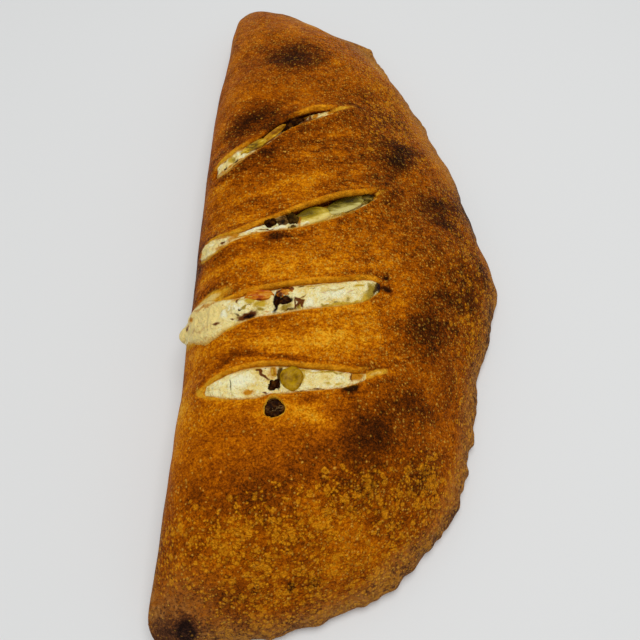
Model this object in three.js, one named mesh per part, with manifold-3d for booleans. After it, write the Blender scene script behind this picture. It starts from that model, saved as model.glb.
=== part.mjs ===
// A baked calzone: a round of dough folded over its filling along one straight side and pinched shut round
// the other. Four cuts across the crown open onto the filling, and an olive slice shows in a small hole.
//
// Millimetres, +Z up. The flat underside lies at z = 0, the length runs along Y with the narrow end at +Y,
// the folded side faces -X and the pinched side +X. The origin is under the middle of the bounding box.

import * as THREE from "three";
import { mergeVertices } from "three/addons/utils/BufferGeometryUtils.js";
import Module from "manifold-3d";

const wasm = await Module();
wasm.setup();

// ---- driving dimensions ----

const DOUGH_OVER_FILLING = 5;
const DOUGH_UNDER_FILLING = 4;
const GAP = 0.4; // between two pieces that touch
const CLEAR_OF_CRUST = 0.48; // from a topping to the crust
const ABOVE_TOP = 5; // how far a cutting body reaches above the dough
const SIMPLIFY_WITHIN = 0.13;
const LEAST_HALF_WIDTH = 0.15;
const LEAST_FILLING = 3;
const RIM_BLEND = 0.5; // keeps the blend of the rims' heights finite on the widest line

const CRUST_BROWN = "#a9651d";
const CHEESE_CREAM = "#ecdfae";

// The widest line of the loaf, anticlockwise from above, one list for each side. A point gives x, y, the
// height of the widest line there, and the distance in which the top climbs from it to the crown.
const NEAR_END = [
  [-74.5, -167, 13, 34],
  [-68, -175, 9, 38],
  [-55, -175.5, 7, 42],
  [-38, -172, 5, 46],
  [-14, -167, 5, 46],
  [5, -160.5, 5, 50],
];
const PINCHED_SIDE = [
  [16, -153, 5, 54],
  [33, -139, 5, 60],
  [45, -121, 5, 66],
  [51, -102, 5, 72],
  [56, -80, 5, 80],
  [62, -62, 5, 86],
  [69, -43, 5, 90],
  [72.8, -27, 5, 92],
  [72.2, -12, 5, 92],
  [68.5, 5, 5, 90],
  [62, 41, 5, 84],
  [51.5, 72, 5, 76],
  [43.5, 97, 6, 66],
  [33, 119, 7, 58],
  [27, 134, 8, 52],
];
const FAR_END = [
  [21, 147, 9, 48],
  [6, 155.5, 9, 48],
  [-12, 165, 10, 48],
  [-30, 176, 11, 48],
  [-45, 180.5, 12, 46],
];
const FOLDED_SIDE = [
  [-55, 173, 14, 32],
  [-59, 154, 18, 28],
  [-60.5, 115, 21, 27],
  [-64.5, 70, 22, 27],
  [-66, 13, 22, 27],
  [-67.3, -40, 22, 27],
  [-68, -94, 22, 28],
  [-71, -130, 21, 29],
  [-72.5, -152, 18, 31],
];
const PLAN_WIDTH = 140;
const PLAN_LENGTH = 340;
// The flat underside and the hollow for the filling, as shares of the plan from the fold to the pinched
// side and from the near end to the far one.
const UNDERSIDE = [0.075, 0.98, 0.024, 0.978];
const HOLLOW = [0.065, 0.89, 0.05, 0.945];
// How steeply the top climbs from the pinched edge, the far end and the fold: 0.5 is a quarter of an
// ellipse, 1 a parabola.
const CLIMB_FROM_PINCH = 0.7;
const CLIMB_FROM_FAR_END = 0.6;
const CLIMB_FROM_FOLD = 0.5;

// Height of the crown along the length: y, height.
const CROWN = [
  [-180, 32],
  [-140, 42],
  [-90, 47],
  [-30, 50],
  [40, 48.5],
  [90, 43],
  [135, 34],
  [182, 20],
];

// Swellings of the top: x, y, half length along x, half length along y, height.
const PUFFS = [
  [-22, 16, 32, 14, 1.6],
  [-18, -34, 36, 13, 1.8],
  [-16, -70, 34, 11, 1.6],
  [-20, -118, 38, 20, 1.2],
  [40, -20, 18, 34, 1.0],
  [-34, 82, 20, 22, 1.2],
];
// The pinched side is a rolled rim with a shallow furrow behind it, deepest near its widest place.
const RIM = { inFromEdge: 2.2, halfWidth: 1.8, up: 0.8 };
const FURROW = { inFromEdge: 4.5, halfWidth: 2.5, down: 1.6 };
const RIM_CENTRE_Y = -22;
const RIM_REACH = 34;

// The cuts through the crown. A point gives x, y, half the width of the opening, and how deep the cut goes
// below the top of the dough: right through over the filling, and shallow where a cut runs out in a crease.
const CUTS = {
  cut_far: [
    [-60, 17.2, 2.2, 3],
    [-52.9, 19.6, 4.4, 9],
    [-45, 23.9, 4.2, 9],
    [-36.4, 30.5, 3.2, 9],
    [-26.9, 40.7, 3.1, 9],
    [-18.9, 46.2, 3.4, 9],
    [-10.3, 50.6, 3.6, 9],
    [-2, 54.4, 1.6, 3],
    [7, 59.2, 0.3, 1],
  ],
  cut_upper: [
    [-62, -25, 2.2, 3],
    [-57.3, -25.4, 4, 9],
    [-46.5, -23.8, 2.1, 9],
    [-33.5, -19, 3, 9],
    [-23, -16.1, 4.9, 9],
    [-10.2, -11.5, 5.5, 9],
    [0.7, -6.8, 5.1, 9],
    [9.6, -2.3, 3, 9],
    [16.7, 2.7, 0.8, 2.5],
    [21, 6.3, 0.3, 1],
  ],
  cut_lower: [
    [-66.4, -58.6, 3.6, 4.5],
    [-62, -60.2, 5.2, 7],
    [-56.8, -61, 6, 9],
    [-46.2, -60, 6, 9],
    [-36.5, -56.7, 5.7, 9],
    [-26.7, -54.9, 6, 9],
    [-14.8, -53.3, 5.7, 9],
    [-2.8, -51.6, 5.4, 9],
    [7.4, -49.2, 4.8, 9],
    [12, -47.7, 2.8, 6],
    [14.5, -47, 0.3, 1],
  ],
  cut_near: [
    [-56.5, -90.8, 0.3, 1],
    [-51, -90.4, 3, 7],
    [-44.9, -90, 5.2, 9],
    [-37.4, -89.2, 6.2, 9],
    [-28.1, -88.3, 6, 9],
    [-18.8, -88.1, 4.9, 9],
    [-9.5, -88, 4.1, 9],
    [-2, -87.6, 3.3, 9],
    [4, -86.3, 1.6, 4],
    [13.5, -82.6, 0.3, 1],
  ],
};
const LIP_LIFT = 1.6; // the dough stands a little proud along a cut
const LIP_REACH = 6;
// Section of one side of a cut from its floor up: share of the half width, widening in mm, and height from
// the top of the dough as a share of the depth and in mm.
const CUT_WALL = [
  [0.75, 0, -1, 0],
  [1, 0, -0.55, 0],
  [1, 0.3, -0.2, 0],
  [1, 1.1, 0, -0.4],
  [1, 2.4, 0, 1.2],
  [1, 2.6, 0, 8],
];

// The melted cheese in each cut: how far it lies below the top of the dough at the two ends.
const CHEESE_SINK = {
  cut_far: [1.4, 2.8],
  cut_upper: [1.6, 3],
  cut_lower: [0.8, 2],
  cut_near: [1, 2.4],
};
const CHEESE_CROWN = 1.1;
const CHEESE_LEAST_DEPTH = 4.8;
// At the lower cut the cheese has run out over the fold and hangs there in a drop.
const CHEESE_DROP = { at: [-67.6, -58.2, 26.5], radii: [3.6, 4.2, 3.4] };

const OLIVE_HOLE = { at: [-28.2, -98.8], radius: 4.6, depth: 8 };
const CHEESE_UNDER_OLIVE = 3.4; // below the top of the dough

// What shows in the cuts. Each piece gives its form, its middle in the plan, how far that lies below the
// top of the dough, its length, width and thickness, and its turns about x, y and z in degrees.
const PEPPER_GREEN = "#7d8a3a";
const PEPPER_PALE = "#b9bb72";
const PEPPER_YELLOW = "#d0a637";
const OLIVE_BLACK = "#1f1a14";
const OLIVE_BROWN = "#4a3a22";
const OLIVE_GREEN = "#a39a3f";
const TOMATO_RED = "#b4491f";
const HAM_BROWN = "#7a3d20";
const TOPPINGS = {
  pepper_green: ["strip", PEPPER_GREEN, -37.8, 28.6, 3, [13, 5, 2.4], [8, 0, 38]],
  pepper_yellow: ["strip", PEPPER_YELLOW, -30.6, 37.4, 3, [11, 4.6, 2.4], [-6, 0, 46]],
  olive_far: ["chunk", OLIVE_BLACK, -22.4, 43, 3.4, [11, 5.5, 4], [10, 0, 30]],
  olive_upper: ["chunk", OLIVE_BLACK, -31.2, -16.9, 3.2, [5.5, 6, 4.5], [0, 12, 20]],
  olive_split: ["chunk", OLIVE_BROWN, -25.6, -16.4, 3.6, [8, 8.5, 4.5], [12, 0, 20]],
  pepper_edge: ["chunk", PEPPER_GREEN, -20.6, -15.4, 3.4, [4.4, 8, 4.5], [0, 8, 12]],
  pepper_pale_left: ["strip", PEPPER_PALE, -12.2, -12.4, 3.6, [11.5, 9, 2.6], [10, 4, 20]],
  pepper_pale_right: ["strip", PEPPER_PALE, -1, -7.8, 3.8, [12.5, 8.5, 2.6], [-8, 5, 24]],
  pepper_end: ["strip", PEPPER_GREEN, 8.4, -3, 3.8, [8.5, 5.5, 2.4], [6, 0, 30]],
  pepper_in_cheese: ["chunk", PEPPER_PALE, -44.8, -59.6, 2.6, [9, 6.5, 4], [0, 6, 10]],
  tomato: ["chunk", TOMATO_RED, -33.9, -52.6, 2.8, [6.5, 5.5, 4], [0, 8, 10]],
  ham: ["chunk", HAM_BROWN, -25, -51.6, 2.8, [7, 5.5, 4], [0, 0, 10]],
  olive_lower: ["chunk", OLIVE_BLACK, -25.4, -56.8, 3.2, [9, 6.5, 4], [8, 0, 8]],
  olive_green: ["chunk", OLIVE_GREEN, 9.8, -49, 3.2, [5.5, 6.5, 4.5], [0, 0, 10]],
  olive_near: ["chunk", OLIVE_BLACK, -29, -90, 2.8, [5.5, 6.5, 4], [0, 0, 0]],
  olive_near_brown: ["chunk", OLIVE_BROWN, -28.6, -84.8, 3, [5, 4.6, 4], [0, 0, 0]],
  olive_slice_green: ["ring", OLIVE_GREEN, -21.8, -87.8, 2.6, [9, 9, 3.2], [12, -14, 0]],
  olive_slice_black: ["ring", OLIVE_BLACK, ...OLIVE_HOLE.at, 1.6, [7.6, 7.6, 2.6], [0, 0, 0]],
};

// Forms of the toppings: how lumpy a chunk is, how a strip bends along, mm, and across, as a share of its
// thickness, and how its ends narrow.
const LUMP = 0.16;
const BEND = 1.6;
const CUP = 0.3;
const STRIP_TAPER = 0.65;
const OLIVE_HOLE_SHARE = 0.2; // radius of an olive slice's hole as a share of the slice's length

// ---- splines and the plan of the loaf ----

const clamp = THREE.MathUtils.clamp;
const bell = (x) => Math.exp(-x * x);

const OUTLINE_STEPS = 8; // samples between two points of the widest line
const CUT_STEPS = 2;

// Catmull-Rom spline through rows of numbers, which may hold more than x and y.
function spline(points, closed, steps) {
  const count = points.length;
  const at = (i) => points[closed ? (i + count) % count : clamp(i, 0, count - 1)];
  const spans = closed ? count : count - 1;
  const samples = [];
  for (let i = 0; i < spans; i++)
    for (let k = 0; k < steps; k++) {
      const t = k / steps;
      const [a, b, c, d] = [at(i - 1), at(i), at(i + 1), at(i + 2)];
      samples.push(
        b.map(
          (p, n) =>
            p +
            0.5 * t * (c[n] - a[n]) +
            0.5 * t * t * (2 * a[n] - 5 * p + 4 * c[n] - d[n]) +
            0.5 * t * t * t * (3 * p - a[n] - 3 * c[n] + d[n]),
        ),
      );
    }
  if (!closed) samples.push(points[count - 1]);
  return samples;
}

const sideLists = [NEAR_END, PINCHED_SIDE, FAR_END, FOLDED_SIDE];
const outline = spline(sideLists.flat(), true, OUTLINE_STEPS);
let firstSample = 0;
const sides = sideLists.map((list) => {
  const samples = [];
  for (let i = 0; i <= list.length * OUTLINE_STEPS; i++)
    samples.push(outline[(firstSample + i) % outline.length]);
  firstSample += list.length * OUTLINE_STEPS;
  return samples;
});

// The edges that the top climbs from. The near end and the pinched side are one smooth edge.
const [nearEnd, pinchedSide, farEnd, foldedSide] = sides;
const climbs = [
  { samples: [...nearEnd, ...pinchedSide.slice(1)], power: CLIMB_FROM_PINCH },
  { samples: farEnd, power: CLIMB_FROM_FAR_END },
  { samples: foldedSide, power: CLIMB_FROM_FOLD },
];

// A point at a share t of the length of a row of samples.
function along(samples, t) {
  const lengths = [0];
  for (let i = 1; i < samples.length; i++) {
    const [a, b] = [samples[i - 1], samples[i]];
    lengths.push(lengths[i - 1] + Math.hypot(b[0] - a[0], b[1] - a[1]));
  }
  const wanted = t * lengths.at(-1);
  let i = 1;
  while (i < samples.length - 1 && lengths[i] < wanted) i++;
  const part = (wanted - lengths[i - 1]) / (lengths[i] - lengths[i - 1]);
  return samples[i - 1].map((p, n) => p + (samples[i][n] - p) * part);
}

// The plan as a patch of four sides: u runs from the fold to the pinched side, v from the near end to the
// far one. The third number is the height of the widest line, blended across.
function plan(u, v) {
  const [near, far] = [along(nearEnd, u), along(farEnd, 1 - u)];
  const [fold, pinch] = [along(foldedSide, 1 - v), along(pinchedSide, v)];
  const [a, b, c, d] = [nearEnd[0], pinchedSide[0], farEnd[0], foldedSide[0]];
  return [0, 1, 2].map(
    (k) =>
      (1 - v) * near[k] +
      v * far[k] +
      (1 - u) * fold[k] +
      u * pinch[k] -
      (1 - v) * ((1 - u) * a[k] + u * b[k]) -
      v * ((1 - u) * d[k] + u * c[k]),
  );
}

// ---- the top of the loaf ----

function crown(y) {
  const last = CROWN.length - 1;
  let i = 0;
  while (i < last - 1 && CROWN[i + 1][0] < y) i++;
  const slope = (k) => {
    const [a, b] = [CROWN[Math.max(k - 1, 0)], CROWN[Math.min(k + 1, last)]];
    return (b[1] - a[1]) / (b[0] - a[0]);
  };
  const span = CROWN[i + 1][0] - CROWN[i][0];
  const t = clamp((y - CROWN[i][0]) / span, 0, 1);
  return (
    (2 * t ** 3 - 3 * t ** 2 + 1) * CROWN[i][1] +
    (t ** 3 - 2 * t ** 2 + t) * span * slope(i) +
    (3 * t ** 2 - 2 * t ** 3) * CROWN[i + 1][1] +
    (t ** 3 - t ** 2) * span * slope(i + 1)
  );
}

// How far a point lies inside a side, with the numbers of the side's nearest point.
function inside(samples, x, y) {
  let best = { square: Infinity };
  for (let i = 1; i < samples.length; i++) {
    const [a, b] = [samples[i - 1], samples[i]];
    const [ex, ey] = [b[0] - a[0], b[1] - a[1]];
    const [dx, dy] = [x - a[0], y - a[1]];
    const t = clamp((dx * ex + dy * ey) / (ex * ex + ey * ey), 0, 1);
    const square = (dx - t * ex) ** 2 + (dy - t * ey) ** 2;
    if (square < best.square) best = { square, left: ex * dy - ey * dx, a, b, t };
  }
  const distance = Math.sqrt(best.square);
  const depth = best.left > 0 ? distance : 0;
  const [rim, run] = [2, 3].map((k) => best.a[k] + (best.b[k] - best.a[k]) * best.t);
  return { depth, distance, rim, run };
}

const cutSamples = Object.fromEntries(
  Object.entries(CUTS).map(([name, points]) => [name, spline(points, false, CUT_STEPS)]),
);

// How much the dough beside the cuts stands up.
function lipLift(x, y) {
  let lift = 0;
  for (const samples of Object.values(cutSamples)) {
    const away = Math.min(...samples.map(([cx, cy, half]) => Math.hypot(x - cx, y - cy) - half));
    lift = Math.max(lift, LIP_LIFT * bell(Math.max(away, 0) / LIP_REACH));
  }
  return lift;
}

function height(x, y) {
  let rise = 1;
  let rimSum = 0;
  let weightSum = 0;
  const depths = climbs.map(({ samples, power }) => {
    const { depth, distance, rim, run } = inside(samples, x, y);
    rise *= (1 - (1 - Math.min(depth / run, 1)) ** 2) ** power;
    const weight = 1 / (distance + RIM_BLEND) ** 2;
    rimSum += weight * rim;
    weightSum += weight;
    return depth;
  });
  const rim = rimSum / weightSum;
  let relief = lipLift(x, y);
  for (const [px, py, rx, ry, up] of PUFFS)
    relief += up * bell((x - px) / rx) * bell((y - py) / ry);
  const roll = RIM.up * bell((depths[0] - RIM.inFromEdge) / RIM.halfWidth);
  const furrow = FURROW.down * bell((depths[0] - FURROW.inFromEdge) / FURROW.halfWidth);
  relief += (roll - furrow) * bell((y - RIM_CENTRE_Y) / RIM_REACH);
  return rim + (crown(y) - rim + relief) * rise;
}

// ---- closed solids ----

function solid(vertices, faces) {
  return new wasm.Manifold(
    new wasm.Mesh({
      numProp: 3,
      vertProperties: new Float32Array(vertices.flat()),
      triVerts: new Uint32Array(faces.flat()),
    }),
  );
}

function solidOf(geometry) {
  const bare = new THREE.BufferGeometry();
  const placed = geometry.index ? geometry : mergeVertices(geometry);
  bare.setAttribute("position", placed.getAttribute("position"));
  bare.setIndex(placed.index);
  const merged = mergeVertices(bare, 1e-3);
  const position = merged.getAttribute("position");
  const vertices = [];
  for (let i = 0; i < position.count; i++)
    vertices.push([position.getX(i), position.getY(i), position.getZ(i)]);
  return solid(vertices, [[...merged.index.array]]);
}

function joined(solids) {
  return solids.reduce((whole, next) => whole.add(next));
}

// The largest body of a solid: a boolean cut can leave scraps beside it.
function largestBody(whole) {
  const bodies = whole.decompose();
  return bodies.reduce((a, b) => (b.volume() > a.volume() ? b : a));
}

// A body over a rectangle of the plan patch: a top of columns by rows, then rings down its side, each with
// its own rectangle and height, and a flat underside. A ring's height may follow the widest line.
function loaf({ columns, rows, rectangle, top, rings }) {
  const place = ([u0, u1, v0, v1], i, j) =>
    plan(u0 + ((u1 - u0) * i) / columns, v0 + ((v1 - v0) * j) / rows);
  const vertices = [];
  const faces = [];
  for (let j = 0; j <= rows; j++)
    for (let i = 0; i <= columns; i++) {
      const [x, y] = place(rectangle, i, j);
      vertices.push([x, y, top(x, y)]);
    }
  const id = (i, j) => j * (columns + 1) + i;
  for (let j = 0; j < rows; j++)
    for (let i = 0; i < columns; i++)
      faces.push(
        [id(i, j), id(i + 1, j), id(i + 1, j + 1)],
        [id(i, j), id(i + 1, j + 1), id(i, j + 1)],
      );
  const border = [];
  for (let i = 0; i < columns; i++) border.push([i, 0]);
  for (let j = 0; j < rows; j++) border.push([columns, j]);
  for (let i = columns; i > 0; i--) border.push([i, rows]);
  for (let j = rows; j > 0; j--) border.push([0, j]);
  let upper = border.map(([i, j]) => id(i, j));
  for (const ring of rings) {
    const lower = border.map(([i, j]) => {
      const [x, y] = place(ring.rectangle, i, j);
      const rim = place(rectangle, i, j)[2];
      return vertices.push([x, y, ring.height(rim)]) - 1;
    });
    lower.forEach((a, k) => {
      const next = (k + 1) % lower.length;
      faces.push([a, lower[next], upper[next]], [a, upper[next], upper[k]]);
    });
    upper = lower;
  }
  const flat = upper.map((k) => new THREE.Vector2(...vertices[k]));
  for (const [a, b, c] of THREE.ShapeUtils.triangulateShape(flat, []))
    faces.push([upper[a], upper[c], upper[b]]);
  return solid(vertices, faces);
}

// A body swept along a cut. Its section is the cut's, drawn in by clear, and closed on top either well above
// the dough or, where sink is given, by a crowned surface that far below it.
function sweptCut(name, { clear = 0, sink = null, leastDepth = 0 }) {
  const stations = cutSamples[name].filter(([, , , depth]) => depth >= leastDepth);
  const last = stations.length - 1;
  const vertices = [];
  const sections = stations.map(([x, y, half, depth], k) => {
    const [before, after] = [stations[Math.max(k - 1, 0)], stations[Math.min(k + 1, last)]];
    const across = new THREE.Vector2(before[1] - after[1], after[0] - before[0]).normalize();
    const wall = CUT_WALL.map(([part, wider, share, up]) => [
      Math.max(part * half + wider - clear, LEAST_HALF_WIDTH),
      Math.max(share * depth + up, clear - depth),
    ]);
    const right = sink ? cheeseSection(wall, sink[0] + ((sink[1] - sink[0]) * k) / last) : wall;
    const section = [...right.map(([t, z]) => [-t, z]), ...right.toReversed()];
    return section.map(([t, z]) => {
      const [px, py] = [x + across.x * t, y + across.y * t];
      return vertices.push([px, py, height(px, py) + z]) - 1;
    });
  });
  const size = sections[0].length;
  const faces = [];
  for (let k = 0; k < last; k++)
    for (let i = 0; i < size; i++) {
      const next = (i + 1) % size;
      const [a, b] = [sections[k], sections[k + 1]];
      faces.push([a[i], b[i], b[next]], [a[i], b[next], a[next]]);
    }
  for (let i = 1; i + 1 < size; i++) {
    const [start, end] = [sections[0], sections[last]];
    faces.push([start[0], start[i], start[i + 1]], [end[0], end[i + 1], end[i]]);
  }
  return solid(vertices, faces);
}

// The lower part of a cut's wall, closed by the cheese's crowned top.
function cheeseSection(wall, sink) {
  const edge = -sink - CHEESE_CROWN;
  const [[floorHalf, floorZ], [midHalf, midZ]] = wall;
  return [
    [floorHalf, floorZ],
    [midHalf, Math.min(midZ, (floorZ + edge) / 2)],
    [midHalf, edge],
    [midHalf * 0.55, edge + 0.75 * CHEESE_CROWN],
  ];
}

// ---- the pieces ----

const radians = THREE.MathUtils.degToRad;

function crustBody() {
  const whole = [0, 1, 0, 1];
  const tucked = (share) => whole.map((edge, k) => edge + (UNDERSIDE[k] - edge) * share);
  return loaf({
    columns: 24,
    rows: 54,
    rectangle: whole,
    top: height,
    rings: [30, 60, 90].map((angle) => ({
      rectangle: tucked(1 - Math.cos(radians(angle))),
      height: (rim) => rim * (1 - Math.sin(radians(angle))),
    })),
  });
}

// The space for the filling, drawn in by clear all round.
function hollowBody(clear) {
  const drawnIn = (by) =>
    HOLLOW.map((edge, k) => edge + ((k % 2 ? -1 : 1) * by) / (k < 2 ? PLAN_WIDTH : PLAN_LENGTH));
  return loaf({
    columns: 16,
    rows: 36,
    rectangle: drawnIn(clear),
    top: (x, y) =>
      Math.max(height(x, y) - DOUGH_OVER_FILLING, DOUGH_UNDER_FILLING + LEAST_FILLING) - clear,
    rings: [
      {
        rectangle: drawnIn(clear + 1),
        height: () => DOUGH_UNDER_FILLING + clear,
      },
    ],
  });
}

function ellipsoid([x, y, z], radii, grow) {
  const ball = new THREE.SphereGeometry(1, 10, 7);
  ball.scale(...radii.map((radius) => radius + grow));
  return solidOf(ball.translate(x, y, z));
}

function uprightPlug([x, y], radius, bottom, top) {
  const round = new THREE.CylinderGeometry(radius, radius, top - bottom, 14);
  round.rotateX(Math.PI / 2);
  return solidOf(round.translate(x, y, (top + bottom) / 2));
}

// Forms of the toppings, each about the origin, of a length, width and thickness.
const FORMS = {
  // A lumpy bit of olive, tomato or ham.
  chunk(length, width, thickness) {
    const ball = new THREE.SphereGeometry(0.5, 8, 6);
    const position = ball.getAttribute("position");
    const p = new THREE.Vector3();
    for (let i = 0; i < position.count; i++) {
      p.fromBufferAttribute(position, i);
      p.multiplyScalar(1 + LUMP * Math.sin(5 * p.x + 2) * Math.cos(6 * p.y + 4 * p.z));
      position.setXYZ(i, p.x * length, p.y * width, p.z * thickness);
    }
    return ball;
  },
  // A bent strip of pepper with rounded ends.
  strip(length, width, thickness) {
    const bar = new THREE.BoxGeometry(1, 1, 1, 6, 2, 1);
    const position = bar.getAttribute("position");
    for (let i = 0; i < position.count; i++) {
      const [x, y, z] = [position.getX(i), position.getY(i), position.getZ(i)];
      const rounded = Math.sqrt(1 - STRIP_TAPER * (2 * x) ** 4);
      const bend = BEND * (0.25 - x * x) - CUP * (2 * y) ** 2 * thickness;
      position.setXYZ(i, x * length, y * width * rounded, z * thickness + bend);
    }
    return bar;
  },
  // A slice of olive with its hole, which closes in by grow.
  ring(length, width, thickness, grow) {
    const hole = OLIVE_HOLE_SHARE - (grow * (1 + 2 * OLIVE_HOLE_SHARE)) / length;
    const profile = [
      [hole, -0.4],
      [0.4, -0.5],
      [0.5, -0.15],
      [0.5, 0.2],
      [0.4, 0.5],
      [hole, 0.4],
      [hole, -0.4],
    ];
    const slice = new THREE.LatheGeometry(
      profile.map(([r, z]) => new THREE.Vector2(r, z)),
      14,
    );
    return slice.rotateX(Math.PI / 2).scale(length, width, thickness);
  },
};

function topping([form, , x, y, down, size, turns], grow) {
  const shape = FORMS[form](...size.map((side) => side + 2 * grow), grow);
  const [turnX, turnY, turnZ] = turns.map(radians);
  shape.rotateX(turnX).rotateY(turnY).rotateZ(turnZ);
  return solidOf(shape.translate(x, y, height(x, y) - down));
}

function build() {
  const cutNames = Object.keys(CUTS);
  const [holeX, holeY] = OLIVE_HOLE.at;
  const holeTop = height(holeX, holeY);

  const openings = [
    ...cutNames.map((name) => sweptCut(name, {})),
    uprightPlug(OLIVE_HOLE.at, OLIVE_HOLE.radius, holeTop - OLIVE_HOLE.depth, holeTop + ABOVE_TOP),
    ellipsoid(CHEESE_DROP.at, CHEESE_DROP.radii, GAP),
  ];
  const crust = crustBody().subtract(joined([hollowBody(0), ...openings]));

  const cheese = joined([
    hollowBody(GAP),
    ...cutNames.map((name) =>
      sweptCut(name, { clear: GAP, sink: CHEESE_SINK[name], leastDepth: CHEESE_LEAST_DEPTH }),
    ),
    uprightPlug(
      OLIVE_HOLE.at,
      OLIVE_HOLE.radius - GAP,
      holeTop - OLIVE_HOLE.depth,
      holeTop - CHEESE_UNDER_OLIVE,
    ),
    ellipsoid(CHEESE_DROP.at, CHEESE_DROP.radii, 0),
  ]);

  // A topping lies in the filling and in the cuts, clear of the crust and of the toppings before it.
  const room = joined([
    hollowBody(CLEAR_OF_CRUST),
    ...cutNames.map((name) => sweptCut(name, { clear: CLEAR_OF_CRUST })),
    uprightPlug(
      OLIVE_HOLE.at,
      OLIVE_HOLE.radius - CLEAR_OF_CRUST,
      holeTop - OLIVE_HOLE.depth,
      holeTop + ABOVE_TOP,
    ),
  ]);
  let taken = null;
  const pieces = { crust: [crust, CRUST_BROWN], filling: null };
  for (const [name, row] of Object.entries(TOPPINGS)) {
    const whole = topping(row, 0).intersect(room);
    pieces[name] = [taken ? whole.subtract(taken) : whole, row[1]];
    const around = topping(row, GAP);
    taken = taken ? taken.add(around) : around;
  }
  pieces.filling = [cheese.subtract(taken), CHEESE_CREAM];
  return pieces;
}

function meshOf(name, body, colour) {
  const { vertProperties, triVerts } = largestBody(body.simplify(SIMPLIFY_WITHIN)).getMesh();
  const geometry = new THREE.BufferGeometry();
  geometry.setAttribute("position", new THREE.BufferAttribute(vertProperties, 3));
  geometry.setIndex(new THREE.BufferAttribute(triVerts, 1));
  geometry.computeVertexNormals();
  const roughness = name === "crust" ? 0.6 : 0.4;
  const material = new THREE.MeshStandardMaterial({ color: colour, roughness, metalness: 0 });
  const mesh = new THREE.Mesh(geometry, material);
  mesh.name = name;
  return mesh;
}

const calzone = new THREE.Group();
for (const [name, [body, colour]] of Object.entries(build()))
  calzone.add(meshOf(name, body, colour));
const box = new THREE.Box3().setFromObject(calzone);
calzone.position.set(-(box.min.x + box.max.x) / 2, -(box.min.y + box.max.y) / 2, 0);

export default calzone;
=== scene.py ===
"""A baked calzone: golden brown dough with four cuts that show cheese, peppers and olives."""

import itertools
import math

import bmesh
import bpy
import numpy as np
from mathutils import Euler, Matrix, Vector


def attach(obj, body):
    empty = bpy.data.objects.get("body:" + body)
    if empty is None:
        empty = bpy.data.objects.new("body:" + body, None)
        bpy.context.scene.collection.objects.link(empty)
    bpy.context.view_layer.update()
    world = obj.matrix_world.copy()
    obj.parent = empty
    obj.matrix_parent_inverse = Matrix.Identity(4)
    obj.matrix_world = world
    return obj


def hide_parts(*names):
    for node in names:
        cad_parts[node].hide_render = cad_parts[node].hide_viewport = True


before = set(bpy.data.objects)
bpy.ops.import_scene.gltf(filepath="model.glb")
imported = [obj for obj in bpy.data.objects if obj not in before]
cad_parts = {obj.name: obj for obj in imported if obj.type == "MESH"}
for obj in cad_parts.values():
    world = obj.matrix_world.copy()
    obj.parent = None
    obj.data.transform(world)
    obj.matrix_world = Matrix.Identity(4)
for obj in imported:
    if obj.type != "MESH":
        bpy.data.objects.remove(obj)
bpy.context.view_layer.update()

# ---- driving dimensions, in millimetres, the same as the CAD model's ----

# The widest line of the loaf, anticlockwise from above: x, y, height of the widest line, run of the climb.
NEAR_END = [
    (-74.5, -167, 13, 34), (-68, -175, 9, 38), (-55, -175.5, 7, 42),
    (-38, -172, 5, 46), (-14, -167, 5, 46), (5, -160.5, 5, 50),
]
PINCHED_SIDE = [
    (16, -153, 5, 54), (33, -139, 5, 60), (45, -121, 5, 66), (51, -102, 5, 72), (56, -80, 5, 80),
    (62, -62, 5, 86), (69, -43, 5, 90), (72.8, -27, 5, 92), (72.2, -12, 5, 92), (68.5, 5, 5, 90),
    (62, 41, 5, 84), (51.5, 72, 5, 76), (43.5, 97, 6, 66), (33, 119, 7, 58), (27, 134, 8, 52),
]
FAR_END = [
    (21, 147, 9, 48), (6, 155.5, 9, 48), (-12, 165, 10, 48), (-30, 176, 11, 48), (-45, 180.5, 12, 46),
]
FOLDED_SIDE = [
    (-55, 173, 14, 32), (-59, 154, 18, 28), (-60.5, 115, 21, 27), (-64.5, 70, 22, 27),
    (-66, 13, 22, 27), (-67.3, -40, 22, 27), (-68, -94, 22, 28), (-71, -130, 21, 29),
    (-72.5, -152, 18, 31),
]
# How far the flat underside and the hollow reach in the plan: least and most u, least and most v.
UNDERSIDE = (0.075, 0.98, 0.024, 0.978)
HOLLOW = (0.065, 0.89, 0.05, 0.945)
CLIMB_FROM_PINCH = 0.7
CLIMB_FROM_FAR_END = 0.6
CLIMB_FROM_FOLD = 0.5
RIM_BLEND = 0.5
# y, height of the top
CROWN = [(-180, 32), (-140, 42), (-90, 47), (-30, 50), (40, 48.5), (90, 43), (135, 34), (182, 20)]
# x, y, half length along x, half length along y, height
PUFFS = [
    (-22, 16, 32, 14, 1.6), (-18, -34, 36, 13, 1.8), (-16, -70, 34, 11, 1.6),
    (-20, -118, 38, 20, 1.2), (40, -20, 18, 34, 1.0), (-34, 82, 20, 22, 1.2),
]
RIM_ROLL = (2.2, 1.8, 0.8)  # in from the edge, half width, up
RIM_FURROW = (4.5, 2.5, 1.6)  # in from the edge, half width, down
RIM_CENTRE_Y = -22
RIM_REACH = 34
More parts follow.
